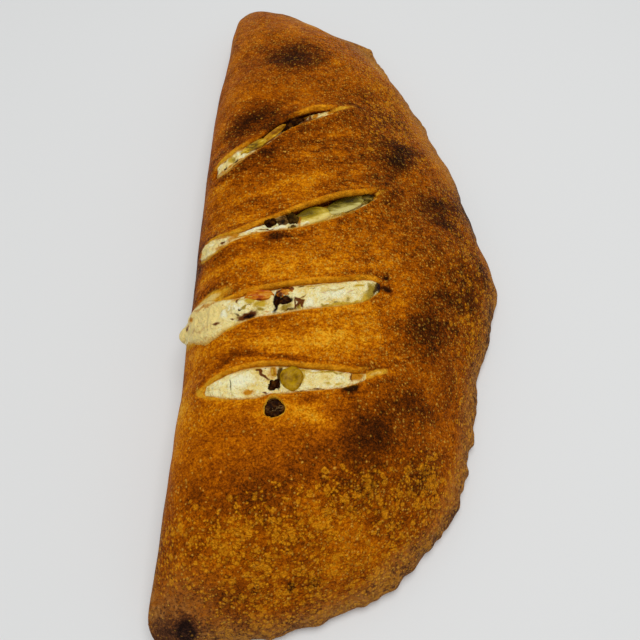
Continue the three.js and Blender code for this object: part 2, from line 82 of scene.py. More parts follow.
# x, y, half width of the opening, depth below the top of the dough
CUTS = {
    "far": [
        (-60, 17.2, 2.2, 3), (-52.9, 19.6, 4.4, 9), (-45, 23.9, 4.2, 9), (-36.4, 30.5, 3.2, 9),
        (-26.9, 40.7, 3.1, 9), (-18.9, 46.2, 3.4, 9), (-10.3, 50.6, 3.6, 9), (-2, 54.4, 1.6, 3),
        (7, 59.2, 0.3, 1),
    ],
    "upper": [
        (-62, -25, 2.2, 3), (-57.3, -25.4, 4, 9), (-46.5, -23.8, 2.1, 9), (-33.5, -19, 3, 9),
        (-23, -16.1, 4.9, 9), (-10.2, -11.5, 5.5, 9), (0.7, -6.8, 5.1, 9), (9.6, -2.3, 3, 9),
        (16.7, 2.7, 0.8, 2.5), (21, 6.3, 0.3, 1),
    ],
    "lower": [
        (-66.4, -58.6, 3.6, 4.5), (-62, -60.2, 5.2, 7), (-56.8, -61, 6, 9), (-46.2, -60, 6, 9),
        (-36.5, -56.7, 5.7, 9), (-26.7, -54.9, 6, 9), (-14.8, -53.3, 5.7, 9), (-2.8, -51.6, 5.4, 9),
        (7.4, -49.2, 4.8, 9), (12, -47.7, 2.8, 6), (14.5, -47, 0.3, 1),
    ],
    "near": [
        (-56.5, -90.8, 0.3, 1), (-51, -90.4, 3, 7), (-44.9, -90, 5.2, 9), (-37.4, -89.2, 6.2, 9),
        (-28.1, -88.3, 6, 9), (-18.8, -88.1, 4.9, 9), (-9.5, -88, 4.1, 9), (-2, -87.6, 3.3, 9),
        (4, -86.3, 1.6, 4), (13.5, -82.6, 0.3, 1),
    ],
}
LIP_LIFT = 1.6
LIP_REACH = 6
CHEESE_DROP = {"at": (-67.6, -58.2, 26.5), "radii": (3.6, 4.2, 3.4)}
OLIVE_HOLE = {"at": (-28.2, -98.8), "radius": 4.6}
DOUGH_OVER_FILLING = 5.4
FILLING_BOTTOM = 4.4
LEAST_FILLING_TOP = 6.6

MM = 0.001


# ---- smooth noise, splines and small helpers ----

NOISE_VALUES = 4096  # a power of two
NOISE_PRIMES = (73856093, 19349663, 83492791)


def bell(x):
    return np.exp(-np.square(x))


def smooth(x, low, high):
    """0 below low, 1 above high, and smooth between."""
    t = np.clip((x - low) / (high - low), 0, 1)
    return t * t * (3 - 2 * t)


def noise(points, size, seed):
    """Smooth noise from -1 to 1 over points in space, with features about size across."""
    table = np.random.default_rng(seed).uniform(-1, 1, NOISE_VALUES)
    scaled = np.asarray(points, float) / size
    cell = np.floor(scaled).astype(np.int64)
    part = scaled - cell
    part = part**3 * (part * (6 * part - 15) + 10)
    total = 0
    for corner in itertools.product((0, 1), repeat=3):
        key = 0
        weight = 1
        for axis, prime in enumerate(NOISE_PRIMES):
            key = key ^ (cell[..., axis] + corner[axis]) * prime
            weight = weight * (part[..., axis] if corner[axis] else 1 - part[..., axis])
        total = total + weight * table[key & (NOISE_VALUES - 1)]
    return total


def layers(points, rows):
    """Sum of noises over points, from the height, size and seed of each."""
    return sum(up * noise(points, size, seed) for up, size, seed in rows)


def flat_noise(x, y, size_x, size_y, seed):
    """Noise over the plan, stretched along x and y."""
    return noise(np.stack([x / size_x, y / size_y, np.zeros_like(x)], -1), 1, seed)


def spline(points, closed, steps):
    """Catmull-Rom spline through rows of numbers, which may hold more than x and y."""
    points = np.asarray(points, float)
    count = len(points)
    spans = np.arange(count if closed else count - 1)
    pick = [spans + k for k in (-1, 0, 1, 2)]
    pick = [i % count if closed else np.clip(i, 0, count - 1) for i in pick]
    a, b, c, d = (points[i][:, None, :] for i in pick)
    t = (np.arange(steps) / steps)[None, :, None]
    samples = b + 0.5 * t * (c - a) + 0.5 * t**2 * (2 * a - 5 * b + 4 * c - d)
    samples = (samples + 0.5 * t**3 * (3 * b - a - 3 * c + d)).reshape(-1, points.shape[1])
    return samples if closed else np.vstack([samples, points[-1]])


# ---- the plan and the height of the loaf ----

OUTLINE_STEPS = 8
side_lists = [NEAR_END, PINCHED_SIDE, FAR_END, FOLDED_SIDE]
outline = spline(sum(side_lists, []), True, OUTLINE_STEPS)
sides = []
first = 0
for side_list in side_lists:
    last = first + len(side_list) * OUTLINE_STEPS
    sides.append(outline[np.arange(first, last + 1) % len(outline)])
    first = last
near_end, pinched_side, far_end, folded_side = sides
climbs = [
    (np.vstack([near_end, pinched_side[1:]]), CLIMB_FROM_PINCH),
    (far_end, CLIMB_FROM_FAR_END),
    (folded_side, CLIMB_FROM_FOLD),
]
plan_centre = (outline[:, :2].min(0) + outline[:, :2].max(0)) / 2


def along(samples, t):
    """Points at shares t of the length of a row of samples: x, y and rim height."""
    steps = np.hypot(*np.diff(samples[:, :2], axis=0).T)
    lengths = np.concatenate([[0], np.cumsum(steps)])
    return np.stack([np.interp(t * lengths[-1], lengths, samples[:, k]) for k in range(3)], -1)


def plan(u, v):
    """The plan as a patch of four sides: u from the fold to the pinched side, v from near to far."""
    u, v = np.broadcast_arrays(np.asarray(u, float), np.asarray(v, float))
    a, b, c, d = (side[0, :3] for side in (near_end, pinched_side, far_end, folded_side))
    near, far = along(near_end, u), along(far_end, 1 - u)
    fold, pinch = along(folded_side, 1 - v), along(pinched_side, v)
    u, v = u[..., None], v[..., None]
    corners = (1 - v) * ((1 - u) * a + u * b) + v * ((1 - u) * d + u * c)
    return (1 - v) * near + v * far + (1 - u) * fold + u * pinch - corners


def crown(y):
    at, up = np.array(CROWN, float).T
    k = np.arange(len(at))
    before, after = np.maximum(k - 1, 0), np.minimum(k + 1, len(at) - 1)
    slope = (up[after] - up[before]) / (at[after] - at[before])
    i = np.clip(np.searchsorted(at, y) - 1, 0, len(at) - 2)
    span = at[i + 1] - at[i]
    t = np.clip((y - at[i]) / span, 0, 1)
    ends = (2 * t**3 - 3 * t**2 + 1) * up[i] + (3 * t**2 - 2 * t**3) * up[i + 1]
    return ends + span * ((t**3 - 2 * t**2 + t) * slope[i] + (t**3 - t**2) * slope[i + 1])


POINTS_AT_ONCE = 4000  # keeps the tables of distances small


def inside(samples, x, y):
    """Depth inside a side, plain distance, rim height and run of the side's nearest point."""
    a, b = samples[:-1], samples[1:]
    edge = b[:, :2] - a[:, :2]
    square = (edge**2).sum(1)
    depth, distance, rim, run = (np.empty(len(x)) for _ in range(4))
    for start in range(0, len(x), POINTS_AT_ONCE):
        part = slice(start, start + POINTS_AT_ONCE)
        dx = x[part, None] - a[:, 0]
        dy = y[part, None] - a[:, 1]
        t = np.clip((dx * edge[:, 0] + dy * edge[:, 1]) / square, 0, 1)
        away = (dx - t * edge[:, 0]) ** 2 + (dy - t * edge[:, 1]) ** 2
        best = away.argmin(1)
        rows = np.arange(len(best))
        t = t[rows, best]
        left = edge[best, 0] * dy[rows, best] - edge[best, 1] * dx[rows, best]
        distance[part] = np.sqrt(away[rows, best])
        depth[part] = np.where(left > 0, distance[part], 0)
        rim[part] = a[best, 2] + (b[best, 2] - a[best, 2]) * t
        run[part] = a[best, 3] + (b[best, 3] - a[best, 3]) * t
    return depth, distance, rim, run


cut_lines = {name: spline(points, False, 12) for name, points in CUTS.items()}


def away_from_cut(name, x, y):
    """Distance outside the opening of a cut, negative inside it."""
    best = np.full(x.shape, np.inf)
    for cx, cy, half, _ in cut_lines[name][::4]:
        best = np.minimum(best, np.hypot(x - cx, y - cy) - half)
    return best


def height(x, y):
    x, y = np.asarray(x, float), np.asarray(y, float)
    shape = x.shape
    x, y = x.ravel(), y.ravel()
    rise = np.ones_like(x)
    rim_sum = weight_sum = 0
    depths = []
    for samples, power in climbs:
        depth, distance, rim, run = inside(samples, x, y)
        rise = rise * (1 - (1 - np.minimum(depth / run, 1)) ** 2) ** power
        weight = 1 / (distance + RIM_BLEND) ** 2
        rim_sum = rim_sum + weight * rim
        weight_sum = weight_sum + weight
        depths.append(depth)
    rim = rim_sum / weight_sum
    relief = 0
    for name in CUTS:
        away = np.maximum(away_from_cut(name, x, y), 0)
        relief = np.maximum(relief, LIP_LIFT * bell(away / LIP_REACH))
    for px, py, rx, ry, up in PUFFS:
        relief = relief + up * bell((x - px) / rx) * bell((y - py) / ry)
    roll = RIM_ROLL[2] * bell((depths[0] - RIM_ROLL[0]) / RIM_ROLL[1])
    furrow = RIM_FURROW[2] * bell((depths[0] - RIM_FURROW[0]) / RIM_FURROW[1])
    relief = relief + (roll - furrow) * bell((y - RIM_CENTRE_Y) / RIM_REACH)
    return (rim + (crown(y) - rim + relief) * rise).reshape(shape)


# ---- the smooth surface of the loaf over p (fold to pinched side) and q (near to far) ----


def even_table(count, line):
    """Table that spaces a parameter evenly along a line over the surface: (share, parameter)."""
    parameter = np.linspace(0, 1, count)
    x, y, _ = line(parameter).T
    z = height(x, y)
    steps = np.sqrt(np.diff(x) ** 2 + np.diff(y) ** 2 + np.diff(z) ** 2)
    share = np.concatenate([[0], np.cumsum(steps)])
    return share / share[-1], parameter


ACROSS_LENGTH = 172.0  # over the top, about
TABLE_SIZE = 900
MIDDLE_U, MIDDLE_V = 0.42, 0.45
ACROSS = even_table(TABLE_SIZE, lambda t: plan(t, MIDDLE_V))
ENDWAYS = even_table(TABLE_SIZE, lambda t: plan(MIDDLE_U, t))
GRID_P, GRID_Q = 260, 620
grid_p = np.linspace(0, 1, GRID_P)
grid_q = np.linspace(0, 1, GRID_Q)
grid_u = np.interp(grid_p, *ACROSS)
grid_v = np.interp(grid_q, *ENDWAYS)
grid_plan = plan(grid_u[:, None], grid_v[None, :])
surface = np.dstack([grid_plan[..., :2], height(grid_plan[..., 0], grid_plan[..., 1])])
surface_normal = np.cross(np.gradient(surface, axis=0), np.gradient(surface, axis=1))
surface_normal /= np.linalg.norm(surface_normal, axis=2, keepdims=True)


def on_surface(p, q):
    """Place and normal of the smooth surface at p and q."""
    i = np.clip(p, 0, 1) * (GRID_P - 1)
    j = np.clip(q, 0, 1) * (GRID_Q - 1)
    i0 = np.minimum(i.astype(int), GRID_P - 2)
    j0 = np.minimum(j.astype(int), GRID_Q - 2)
    fi, fj = (i - i0)[..., None], (j - j0)[..., None]
    found = []
    for field in (surface, surface_normal):
        lower = field[i0, j0] * (1 - fi) + field[i0 + 1, j0] * fi
        upper = field[i0, j0 + 1] * (1 - fi) + field[i0 + 1, j0 + 1] * fi
        found.append(lower * (1 - fj) + upper * fj)
    return found


RUN_ON = 15  # how far a cut's line still turns past its end
RUN_OUT = 1.5  # and how far its opening takes to close
CROSSING_STEP = 0.004  # of q


def cut_at(name, x):
    """Centreline y, half width and depth of a cut at x; past its ends it runs on with no width."""
    line = cut_lines[name]
    y, half, depth = (np.interp(x, line[:, 0], line[:, k]) for k in (1, 2, 3))
    for end, inner in ((0, 6), (-1, -7)):
        slope = (line[end, 1] - line[inner, 1]) / (line[end, 0] - line[inner, 0])
        past = x - line[end, 0]
        beyond = past < 0 if end == 0 else past > 0
        y = np.where(beyond, line[end, 1] + slope * RUN_ON * np.tanh(past / RUN_ON), y)
        fade = np.clip(1 - np.abs(past) / RUN_OUT, 0, 1)
        half = np.where(beyond, half * fade, half)
        depth = np.where(beyond, depth * fade, depth)
    return y, half, depth


def crossings(name, p):
    """Where columns at p cross a cut: q, half width, depth, q for each millimetre square to it, and x."""
    q = np.linspace(0.02, 0.98, 1200)
    found = []
    for one in p:
        place, _ = on_surface(np.full_like(q, one), q)
        line_y, _, _ = cut_at(name, place[:, 0])
        over = place[:, 1] - line_y
        at = np.interp(0, over, q)
        x, y = (np.interp(at, q, place[:, k]) for k in (0, 1))
        x2, y2 = (np.interp(at + CROSSING_STEP, q, place[:, k]) for k in (0, 1))
        _, half, depth = cut_at(name, x)
        slope = float(cut_at(name, x + 1)[0] - cut_at(name, x - 1)[0]) / 2
        normal = np.array([-slope, 1]) / math.hypot(slope, 1)
        across = normal @ np.array([x2 - x, y2 - y])
        found.append((at, float(half), float(depth), CROSSING_STEP / across, x))
    return np.array(found).T


# ---- meshes ----


def new_mesh(name, vertices, faces):
    """Mesh object from vertices in millimetres, moved to the CAD model's origin."""
    mesh = bpy.data.meshes.new(name)
    placed = (np.asarray(vertices, float) - [plan_centre[0], plan_centre[1], 0]) * MM
    mesh.from_pydata(placed.tolist(), [], faces)
    mesh.update()
    mesh.polygons.foreach_set("use_smooth", np.ones(len(mesh.polygons), bool))
    obj = bpy.data.objects.new(name, mesh)
    bpy.context.scene.collection.objects.link(obj)
    return obj


def set_attribute(obj, name, values):
    layer = obj.data.attributes.new(name, "FLOAT", "POINT")
    layer.data.foreach_set("value", np.asarray(values, np.float32))


def grid_faces(columns, rows):
    """Faces of a grid whose vertex (i, j) has the number i * rows + j, facing up."""
    starts = (i * rows + j for i in range(columns - 1) for j in range(rows - 1))
    return [(a, a + rows, a + rows + 1, a + 1) for a in starts]


def border_of(columns, rows):
    """Border of such a grid, anticlockwise from above, as (i, j)."""
    ring = [(i, 0) for i in range(columns - 1)]
    ring += [(columns - 1, j) for j in range(rows - 1)]
    ring += [(i, rows - 1) for i in range(columns - 1, 0, -1)]
    ring += [(0, j) for j in range(rows - 1, 0, -1)]
    return ring


def close_below(faces, rings):
    """Adds the bands between rings of vertex numbers, and the flat underside."""
    for upper, lower in zip(rings, rings[1:]):
        for k in range(len(upper)):
            n = (k + 1) % len(upper)
            faces.append((lower[k], lower[n], upper[n], upper[k]))
    faces.append(tuple(reversed(rings[-1])))


# ---- the rows of the crust, which run along the cuts ----

# One side of a cut from the middle of its floor to the crest of its lip: share of the half width, added
# width, depth as a share of the wall's, and how pale the cut face is there.
FAR_WALL = [
    (0.0, 0.0, 1.0, 0.0), (0.6, 0.0, 1.0, 0.0), (1.0, 0.5, 0.95, 0.0), (1.0, 0.7, 0.72, 0.0),
    (1.0, 0.35, 0.52, 0.25), (1.0, 0.05, 0.38, 0.6), (1.0, 0.0, 0.26, 0.9), (1.0, 0.1, 0.15, 1.0),
    (1.0, 0.45, 0.06, 1.0), (1.0, 1.0, 0.0, 0.8), (1.0, 1.7, -0.03, 0.45),
]
NEAR_WALL = [
    (0.0, 0.0, 1.0, 0.0), (0.6, 0.0, 1.0, 0.0), (1.0, 0.3, 0.95, 0.0), (1.0, 0.3, 0.72, 0.2),
    (1.0, 0.1, 0.5, 0.6), (1.0, -0.1, 0.33, 0.9), (1.0, -0.15, 0.2, 1.0), (1.0, -0.05, 0.1, 0.8),
    (1.0, 0.2, 0.035, 0.5), (1.0, 0.7, 0.0, 0.2), (1.0, 1.4, 0.0, 0.05),
]
# x from which the dough starts to open, and from which it is open, at the left ends of two cuts
CLOSED_UNTIL = {"upper": (-65, -61.5), "far": (-60.5, -56)}
WALL_DEPTH = 7.0
WALL_STEP = 0.45  # between two rows of the wall where the cut has run out
CUT_REACH = 12.0  # the dough beside a cut is moved as far out as this
OUTER_STEPS = 10
COLUMNS = 198
ROWS_BETWEEN = [92, 14, 28, 34, 112]  # near end, between the cuts, far end
NEAR_END_POWER = 0.9  # draws the near end's rows together towards its rim
OPEN_DEPTHS = (1.2, 7.6)  # depths at which a cut starts to open, and is open
NEAR_TO_FAR = ("near", "lower", "upper", "far")


def opens_at(name, x):
    return smooth(x, *CLOSED_UNTIL[name]) if name in CLOSED_UNTIL else 1.0


def wall_rows(half, opened):
    """Offsets across, depths and paleness of the rows of one cut, for columns of given half widths."""
    offsets, depths, pale = [], [], []
    outer = np.linspace(0, 1, OUTER_STEPS + 1)[1:]
    for sign, wall in ((-1, NEAR_WALL), (1, FAR_WALL)):
        side = []
        for k, (share, wider, down, whiteness) in enumerate(wall):
            t = (share * half + wider) * opened + k * WALL_STEP * (1 - opened)
            side.append((sign * t, down * WALL_DEPTH * opened, whiteness * opened))
        crest = side[-1][0] * sign
        for share in outer:
            t = crest + (CUT_REACH - crest) * share
            side.append((sign * t, 0 * opened, 0.1 * opened * (1 - share)))
        if sign < 0:
            side = side[:0:-1]
        for t, down, whiteness in side:
            offsets.append(t)
            depths.append(down)
            pale.append(whiteness)
    return np.array(offsets), np.array(depths), np.array(pale)


columns_p = np.linspace(0, 1, COLUMNS)
q_rows, down_rows, pale_rows = [], [], []
previous = np.zeros(COLUMNS)
for number, name in enumerate(NEAR_TO_FAR):
    at, half, depth, per_mm, x = crossings(name, columns_p)
    opened = smooth(depth, *OPEN_DEPTHS) * opens_at(name, x)
    offsets, downs, pales = wall_rows(half, opened)
    q_cut = at + offsets * per_mm
    share = np.linspace(0, 1, ROWS_BETWEEN[number] + 1)[:-1, None]
    if number == 0:
        share = share**NEAR_END_POWER
    between = previous + (q_cut[0] - previous) * share
    q_rows += [between, q_cut]
    down_rows += [np.zeros_like(between), downs]
    pale_rows += [np.zeros_like(between), pales]
    previous = q_cut[-1]
share = np.linspace(0, 1, ROWS_BETWEEN[-1] + 1)[1:, None]
q_rows.append(previous + (1 - previous) * share)
down_rows.append(np.zeros_like(q_rows[-1]))
pale_rows.append(np.zeros_like(q_rows[-1]))
q_rows, down_rows, pale_rows = (np.vstack(rows).T for rows in (q_rows, down_rows, pale_rows))
ROWS = q_rows.shape[1]

# ---- the surface of the crust: lumps, wrinkles, the olive's hole and the ragged edge ----

crust_base, crust_normal = on_surface(np.repeat(columns_p[:, None], ROWS, 1), q_rows)
xs, ys = crust_base[..., 0], crust_base[..., 1]
pinch_depth, far_depth, fold_depth = (
    inside(side, xs.ravel(), ys.ravel())[0].reshape(xs.shape) for side, _ in climbs
)
edge_depth = np.minimum(np.minimum(pinch_depth, far_depth), fold_depth)
cut_away = np.minimum.reduce([away_from_cut(name, xs, ys) for name in CUTS])

# Mean slant of the cuts, for wrinkles that run along them.
SLANT = math.radians(14)
run_along = xs * math.cos(SLANT) + ys * math.sin(SLANT)
run_across = -xs * math.sin(SLANT) + ys * math.cos(SLANT)
between_cuts = smooth(ys, -104, -92) * (1 - smooth(ys, 30, 70)) * (1 - smooth(xs, 0, 34))


def patches(rows, x=xs, y=ys, sharp=1.3):
    """Sum of soft patches: x, y, half length, half width, strength and, for some, the turn in degrees."""
    total = np.zeros_like(x)
    for px, py, length, width, strength, *turn in rows:
        c, s = math.cos(math.radians(sum(turn))), math.sin(math.radians(sum(turn)))
        a = ((x - px) * c + (y - py) * s) / length
        b = ((y - py) * c - (x - px) * s) / width
        total = total + strength * np.exp(-((a * a + b * b) ** sharp))
    return total


# Folds in the dough beside the cuts: ridges and creases.
CREASES = [
    (-48.5, -79.3, 5, 1.1, -1.1, 38), (-40, -77, 8, 1.1, -1), (-32, -79.2, 5, 1.1, -0.9, -18),
    (-44, -74.6, 10, 2.2, 0.7, 8), (-30, -27.5, 10, 1.2, -0.5, 14), (-24, -44, 16, 1.4, -0.4, 8),
    (-50, -34, 8, 1.2, -0.5, 20), (-40, -66.5, 12, 1.2, -0.5, 6), (3.6, -80, 2.2, 0.6, -0.7, 62),
    (-20, 12, 16, 1.5, -0.4, 16), (-44, 14, 9, 1.2, -0.5, 30), (-22, -99, 5, 1.6, 0.5, -20),
    (-0.6, -91.2, 2.2, 1.3, 1.3),
]

# height, size and seed
CRUST_LUMPS = [(0.9, 34, 3), (0.45, 13, 4), (0.16, 5.5, 5), (0.07, 2.6, 6)]
lumps = layers(crust_base, CRUST_LUMPS)
wrinkles = flat_noise(run_along, run_across, 26, 3.4, 7) + 0.5 * flat_noise(run_along, run_across, 14, 1.8, 8)
lumps += 0.28 * wrinkles * between_cuts * smooth(cut_away, 0, 4)
lumps += patches(CREASES)
lumps *= smooth(edge_depth, -0.5, 5) * smooth(cut_away, -2, 3)

crust_points = crust_base + crust_normal * (lumps - down_rows)[..., None]

# The near corner of the fold is smoothed, as the rows crowd there.
NEAR_CORNER = [(-61, -160, 13, 16, 1.3, 20)]
CORNER_PASSES = 30
corner = np.clip(patches(NEAR_CORNER), 0, 1)[1:-1, 1:-1, None]
for _ in range(CORNER_PASSES):
    around = crust_points[:-2, 1:-1] + crust_points[2:, 1:-1]
    around = (around + crust_points[1:-1, :-2] + crust_points[1:-1, 2:]) / 4
    crust_points[1:-1, 1:-1] += (around - crust_points[1:-1, 1:-1]) * corner

# The pinched edge is ragged, most of all at the near end.
ragged = 0.9 * flat_noise(xs, ys, 7, 7, 11) + 0.5 * flat_noise(xs, ys, 3.2, 3.2, 12)
ragged *= bell(pinch_depth / 3.5) * smooth(xs, -66, -40)
ragged *= 0.6 + 0.9 * bell((ys + 140) / 45) + 0.9 * smooth(ys, 40, 80)
scallops = 0.8 * flat_noise(xs, ys, 14, 14, 13) * bell(edge_depth / 5)
outward = crust_normal[..., :2] / (np.linalg.norm(crust_normal[..., :2], axis=2, keepdims=True) + 1e-6)
crust_points[..., :2] += outward * (ragged + scallops)[..., None]

# The olive's hole: the dough is pushed outwards from its middle and rolls in over the rim.
hole_x, hole_y = OLIVE_HOLE["at"]
HOLE_ROLLS_FROM = 2.6  # what lies nearer the middle goes down the wall
HOLE_REACH = 8.5
HOLE_DEPTH = 4.5
HOLE_ROLLED_IN = 1.1
HOLE_LOBES = 0.42
from_hole = np.hypot(xs - hole_x, ys - hole_y)
turn_round = np.arctan2(ys - hole_y, xs - hole_x)
hole_edge = OLIVE_HOLE["radius"] - HOLE_ROLLED_IN + HOLE_LOBES * np.cos(3 * turn_round + 0.9)
on_top = from_hole >= HOLE_ROLLS_FROM
pushed = hole_edge + (from_hole - HOLE_ROLLS_FROM) * (HOLE_REACH - hole_edge) / (HOLE_REACH - HOLE_ROLLS_FROM)
wall_share = np.clip((HOLE_ROLLS_FROM - from_hole) / (HOLE_ROLLS_FROM * 0.6), 0, 1)
new_radius = np.where(on_top, pushed, hole_edge * (1 - 0.25 * wall_share**3))
move = np.where(from_hole < HOLE_REACH, new_radius - from_hole, 0)
crust_points[..., 0] += move * np.cos(turn_round)
crust_points[..., 1] += move * np.sin(turn_round)
crust_points[..., 2] -= np.where(on_top, 0, HOLE_DEPTH * wall_share**0.8)
crust_points[..., 2] += 0.5 * bell((from_hole - HOLE_ROLLS_FROM - 1) / 1.6) * on_top

# ---- how baked the crust is, and the shade painted into it, for its material ----

# The bake value runs from 0, pale gold, to 1, burnt, and also carries painted shade: low in the cuts, along
# the lips and in the creases beside the near cut. Here it is more, and in the next list less, than around it.
TOAST_AND_SHADE = [
    (12, 12, 9, 4, 0.09, 10), (-8, -168, 26, 4, 0.08), (-20, 101, 14, 12, 0.42, 10),
    (-22, 84, 18, 12, 0.12), (-26, 112, 16, 10, 0.1), (-43, 47, 19, 9, 0.4, 44), (-30, 45, 14, 6, 0.2, 30),
    (-33, 25, 18, 8, 0.14, 22), (-22, 33, 16, 8, 0.1, 30), (5, 42, 20, 12, 0.1), (8, 22, 18, 10, 0.06),
    (30, 37, 7, 7, 0.42), (27, 27, 6, 5, 0.36), (22, 30, 8, 10, 0.1), (46, 9, 9, 6.5, 0.34),
    (47, -3, 6, 5, 0.3), (38, 4, 6, 6, 0.12), (45, -44, 10, 5.5, 0.32, 5), (56, -28, 5, 10, 0.14),
    (33, -61, 10, 7, 0.32, 10), (40, -55, 8, 5, 0.14), (24, -64, 6, 5, 0.1), (23, -93, 8, 5.5, 0.25),
    (8, -106, 12, 6.5, 0.27, 8), (-6, -115, 14, 5, 0.14, 10), (-30, -127, 24, 9, 0.15),
    (-45, -133, 12, 6, 0.1), (-28.5, -24.5, 5, 3.2, 0.34, 14), (-20, -24, 8, 3, 0.1, 10),
    (-60, -170, 2.6, 2.6, 0.8), (23, 24, 6, 7, 0.13), (22, 62, 10, 5, 0.08), (60, 20, 6, 12, 0.1),
    (-22, 92, 14, 5, 0.06), (-28, 18, 14, 6, 0.07), (50, -4, 7, 5, 0.08), (26, -24, 8, 6, 0.07),
    # The last row on this line and the three on the next darken the creases beyond the near cut's far lip:
    # painted shade in the creases.
    (-63, -168, 10, 9, 0.2), (-46, -160, 8, 4, 0.14), (-47.5, -79.6, 5, 1.4, 0.28, 40),
    (-40, -76.8, 7, 1.3, 0.16, 4), (-30, -78, 8, 1, 0.24, -8), (-20, -80.5, 8, 0.8, 0.14, -6),
    (-40, -6, 14, 4, 0.14, 22), (-50, -36, 10, 4, 0.06, 14), (-54.6, -48, 5, 3, 0.18, 10),
    (64.5, -22, 3.5, 12, 0.3, 4), (-66, 95, 4, 18, 0.24), (-67, -15, 3.5, 26, 0.26),
    (16.5, -42, 1, 0.8, 0.7), (16.6, -47.2, 1.9, 1.1, 1, -10), (-22.8, -156.6, 1.2, 1.2, 0.6),
    (6, 72, 12, 10, 0.16), (-36, 19, 12, 8, 0.14, 20), (-28, -11, 5, 4, 0.14), (8, -6, 5, 4, 0.08),
    (7, -103, 8, 16, 0.14), (-64, 85, 4, 16, 0.12), (64, 15, 4, 14, 0.16), (-66, -38, 3.5, 12, 0.1),
    (-28, 100, 8, 8, 0.08), (55, -35, 6, 12, 0.1), (64, 20, 4, 10, 0.12), (67, -42, 3, 8, 0.1),
    (7, 50, 12, 8, 0.08), (-4, -13, 6, 4, 0.08), (5, -120, 8, 7, 0.12), (26, -117, 6, 6, 0.1),
    (-55, 15, 6, 5, 0.1), (22, -96, 8, 5, 0.1), (32, -72, 7, 5, 0.1), (-44, 106, 8, 6, 0.1),
    (-66, -172, 9, 6, 0.25), (-16, -155, 6, 3, 0.18), (-0.6, -91, 2.5, 1.6, 1.8),
    (-56, -19.6, 0.9, 0.8, 0.6),
]
GOLDEN = [
    (3, -60, 9, 4, 0.09), (-23, 8, 16, 6, 0.12, 18), (-14, -40, 24, 5.5, 0.17, 8),
    (-6, -26, 14, 5, 0.14, 10), (-6, -71, 24, 6, 0.2, 4), (-28, -72, 12, 4, 0.22),
    (23, -49, 4.5, 8, 0.18, -20), (-16, -101.5, 8, 2.4, 0.28, -24), (-48, 68, 10, 12, 0.1, 30),
    (-58, -72, 10, 5, 0.14), (-66, -100, 5, 20, 0.14), (-52, -98, 12, 5, 0.08), (-58, -38, 7, 4, 0.14, 20),
    (-57, 8, 6, 5, 0.08), (-46, -12, 8, 4, 0.1, 20), (-44, -36, 6, 3, 0.1, 14), (43, 64, 26, 6, 0.22, 107),
    (54, 34, 10, 5, 0.12, 100), (26, 118, 12, 5, 0.24, 110), (-12, 156, 14, 6, 0.18, -30),
    (35, 21, 5, 5, 0.12), (10, 146, 10, 5, 0.1, -30), (0, -143, 10, 6, 0.12), (20, -140, 14, 5, 0.1, 40),
    (-66, -60, 4, 10, 0.12), (-4, -60, 26, 7, 0.13, 4), (14, -56, 7, 6, 0.08), (-30, -101, 14, 5, 0.14),
    (-12, 154, 5, 12, 0.16, 20), (27, 115, 6, 16, 0.16, 10), (-64, -95, 5, 18, 0.1), (38, -42, 10, 8, 0.11),
    (46, 72, 4, 8, 0.12), (28, 43, 6, 6, 0.08), (50, 44, 6, 8, 0.1), (-58, 45, 6, 9, 0.12),
    (-34, 43, 6, 3, 0.12, 40), (36, -126, 5, 12, 0.1, -30), (-34, -118, 10, 5, 0.08), (45, 14, 6, 6, 0.1),
    (-40, 66, 8, 5, 0.08), (-66, -88, 4, 8, 0.06), (-14, -38, 16, 4, 0.06), (16, -36, 8, 5, 0.06),
    (37, -63, 3, 3, 0.1), (5, -106, 6, 4, 0.1), (65, -16, 3, 7, 0.1), (24, 122, 7, 14, 0.16),
    (20, 100, 10, 8, 0.1), (0, 136, 10, 6, 0.12), (56, 44, 4, 8, 0.1), (36, 92, 6, 8, 0.1),
    (-10, -132, 10, 6, 0.1), (-4, -150, 10, 7, 0.08), (-65, -88, 4, 10, 0.08), (-66, -118, 4, 10, 0.08),
    (34, -128, 6, 8, 0.08, -30), (-30, -75, 14, 5, 0.11), (-32, -98, 10, 4, 0.08), (50, 30, 8, 6, 0.08),
    (39, 12, 5, 6, 0.08), (-56, 2, 6, 5, 0.06), (30, 41, 5, 5, 0.06), (65, -12, 4, 5, 0.1),
    (16, 4, 4, 4, 0.1), (-8, 56, 8, 3, 0.08), (-6, -142, 8, 10, 0.08),
]
# Where the dough stayed pale beside the cheese, and where the lip of a cut is toasted all over.
CREAM = [
    (-56, -24.5, 7, 3.2, 0.65, 8), (-43, -21.6, 7, 1.8, 0.5, 10), (-53, 21, 4.5, 2.6, 0.55, 45),
    (-60, -66.5, 10, 2.6, 0.7), (-58, -51.2, 10, 3, 1.7, 12), (-50, -67, 8, 1.2, 0.4, 4),
    (-26, -94.6, 5, 1, 0.4, -14), (9.5, -84.3, 5, 1.2, 1, 20), (15, 2.2, 3.5, 1, 0.6, 32),
    (1, 56.4, 6, 1.3, 0.7, 28),
]
TOASTED_LIPS = [
    (-35, 38.5, 13, 6, 1, 42), (-24, 47.5, 8, 3, 0.5, 32), (-24, -86, 6, 3, 0.5),
    (-55, -90.6, 3.4, 4, 0.65),
]
PLAIN_BAKE = 0.41
LIP_LINE = 3.2  # out from a cut, where a line of painted shade runs along it
bake_and_shade = np.full(xs.shape, PLAIN_BAKE)
pale_rows *= 1 - np.clip(patches(TOASTED_LIPS), 0, 1)
bake_and_shade += 0.13 * smooth(xs, -12, 44) + 0.05 * smooth(-ys, 100, 135)
bake_and_shade += patches(TOAST_AND_SHADE, sharp=1.0) - patches(GOLDEN, sharp=1.0)
bake_and_shade += 0.05 * noise(crust_base, 22, 21) + 0.08 * noise(crust_base, 8, 22)
bake_and_shade += 0.09 * flat_noise(run_along, run_across, 22, 3.0, 23) * between_cuts
bake_and_shade -= 0.30 * pale_rows
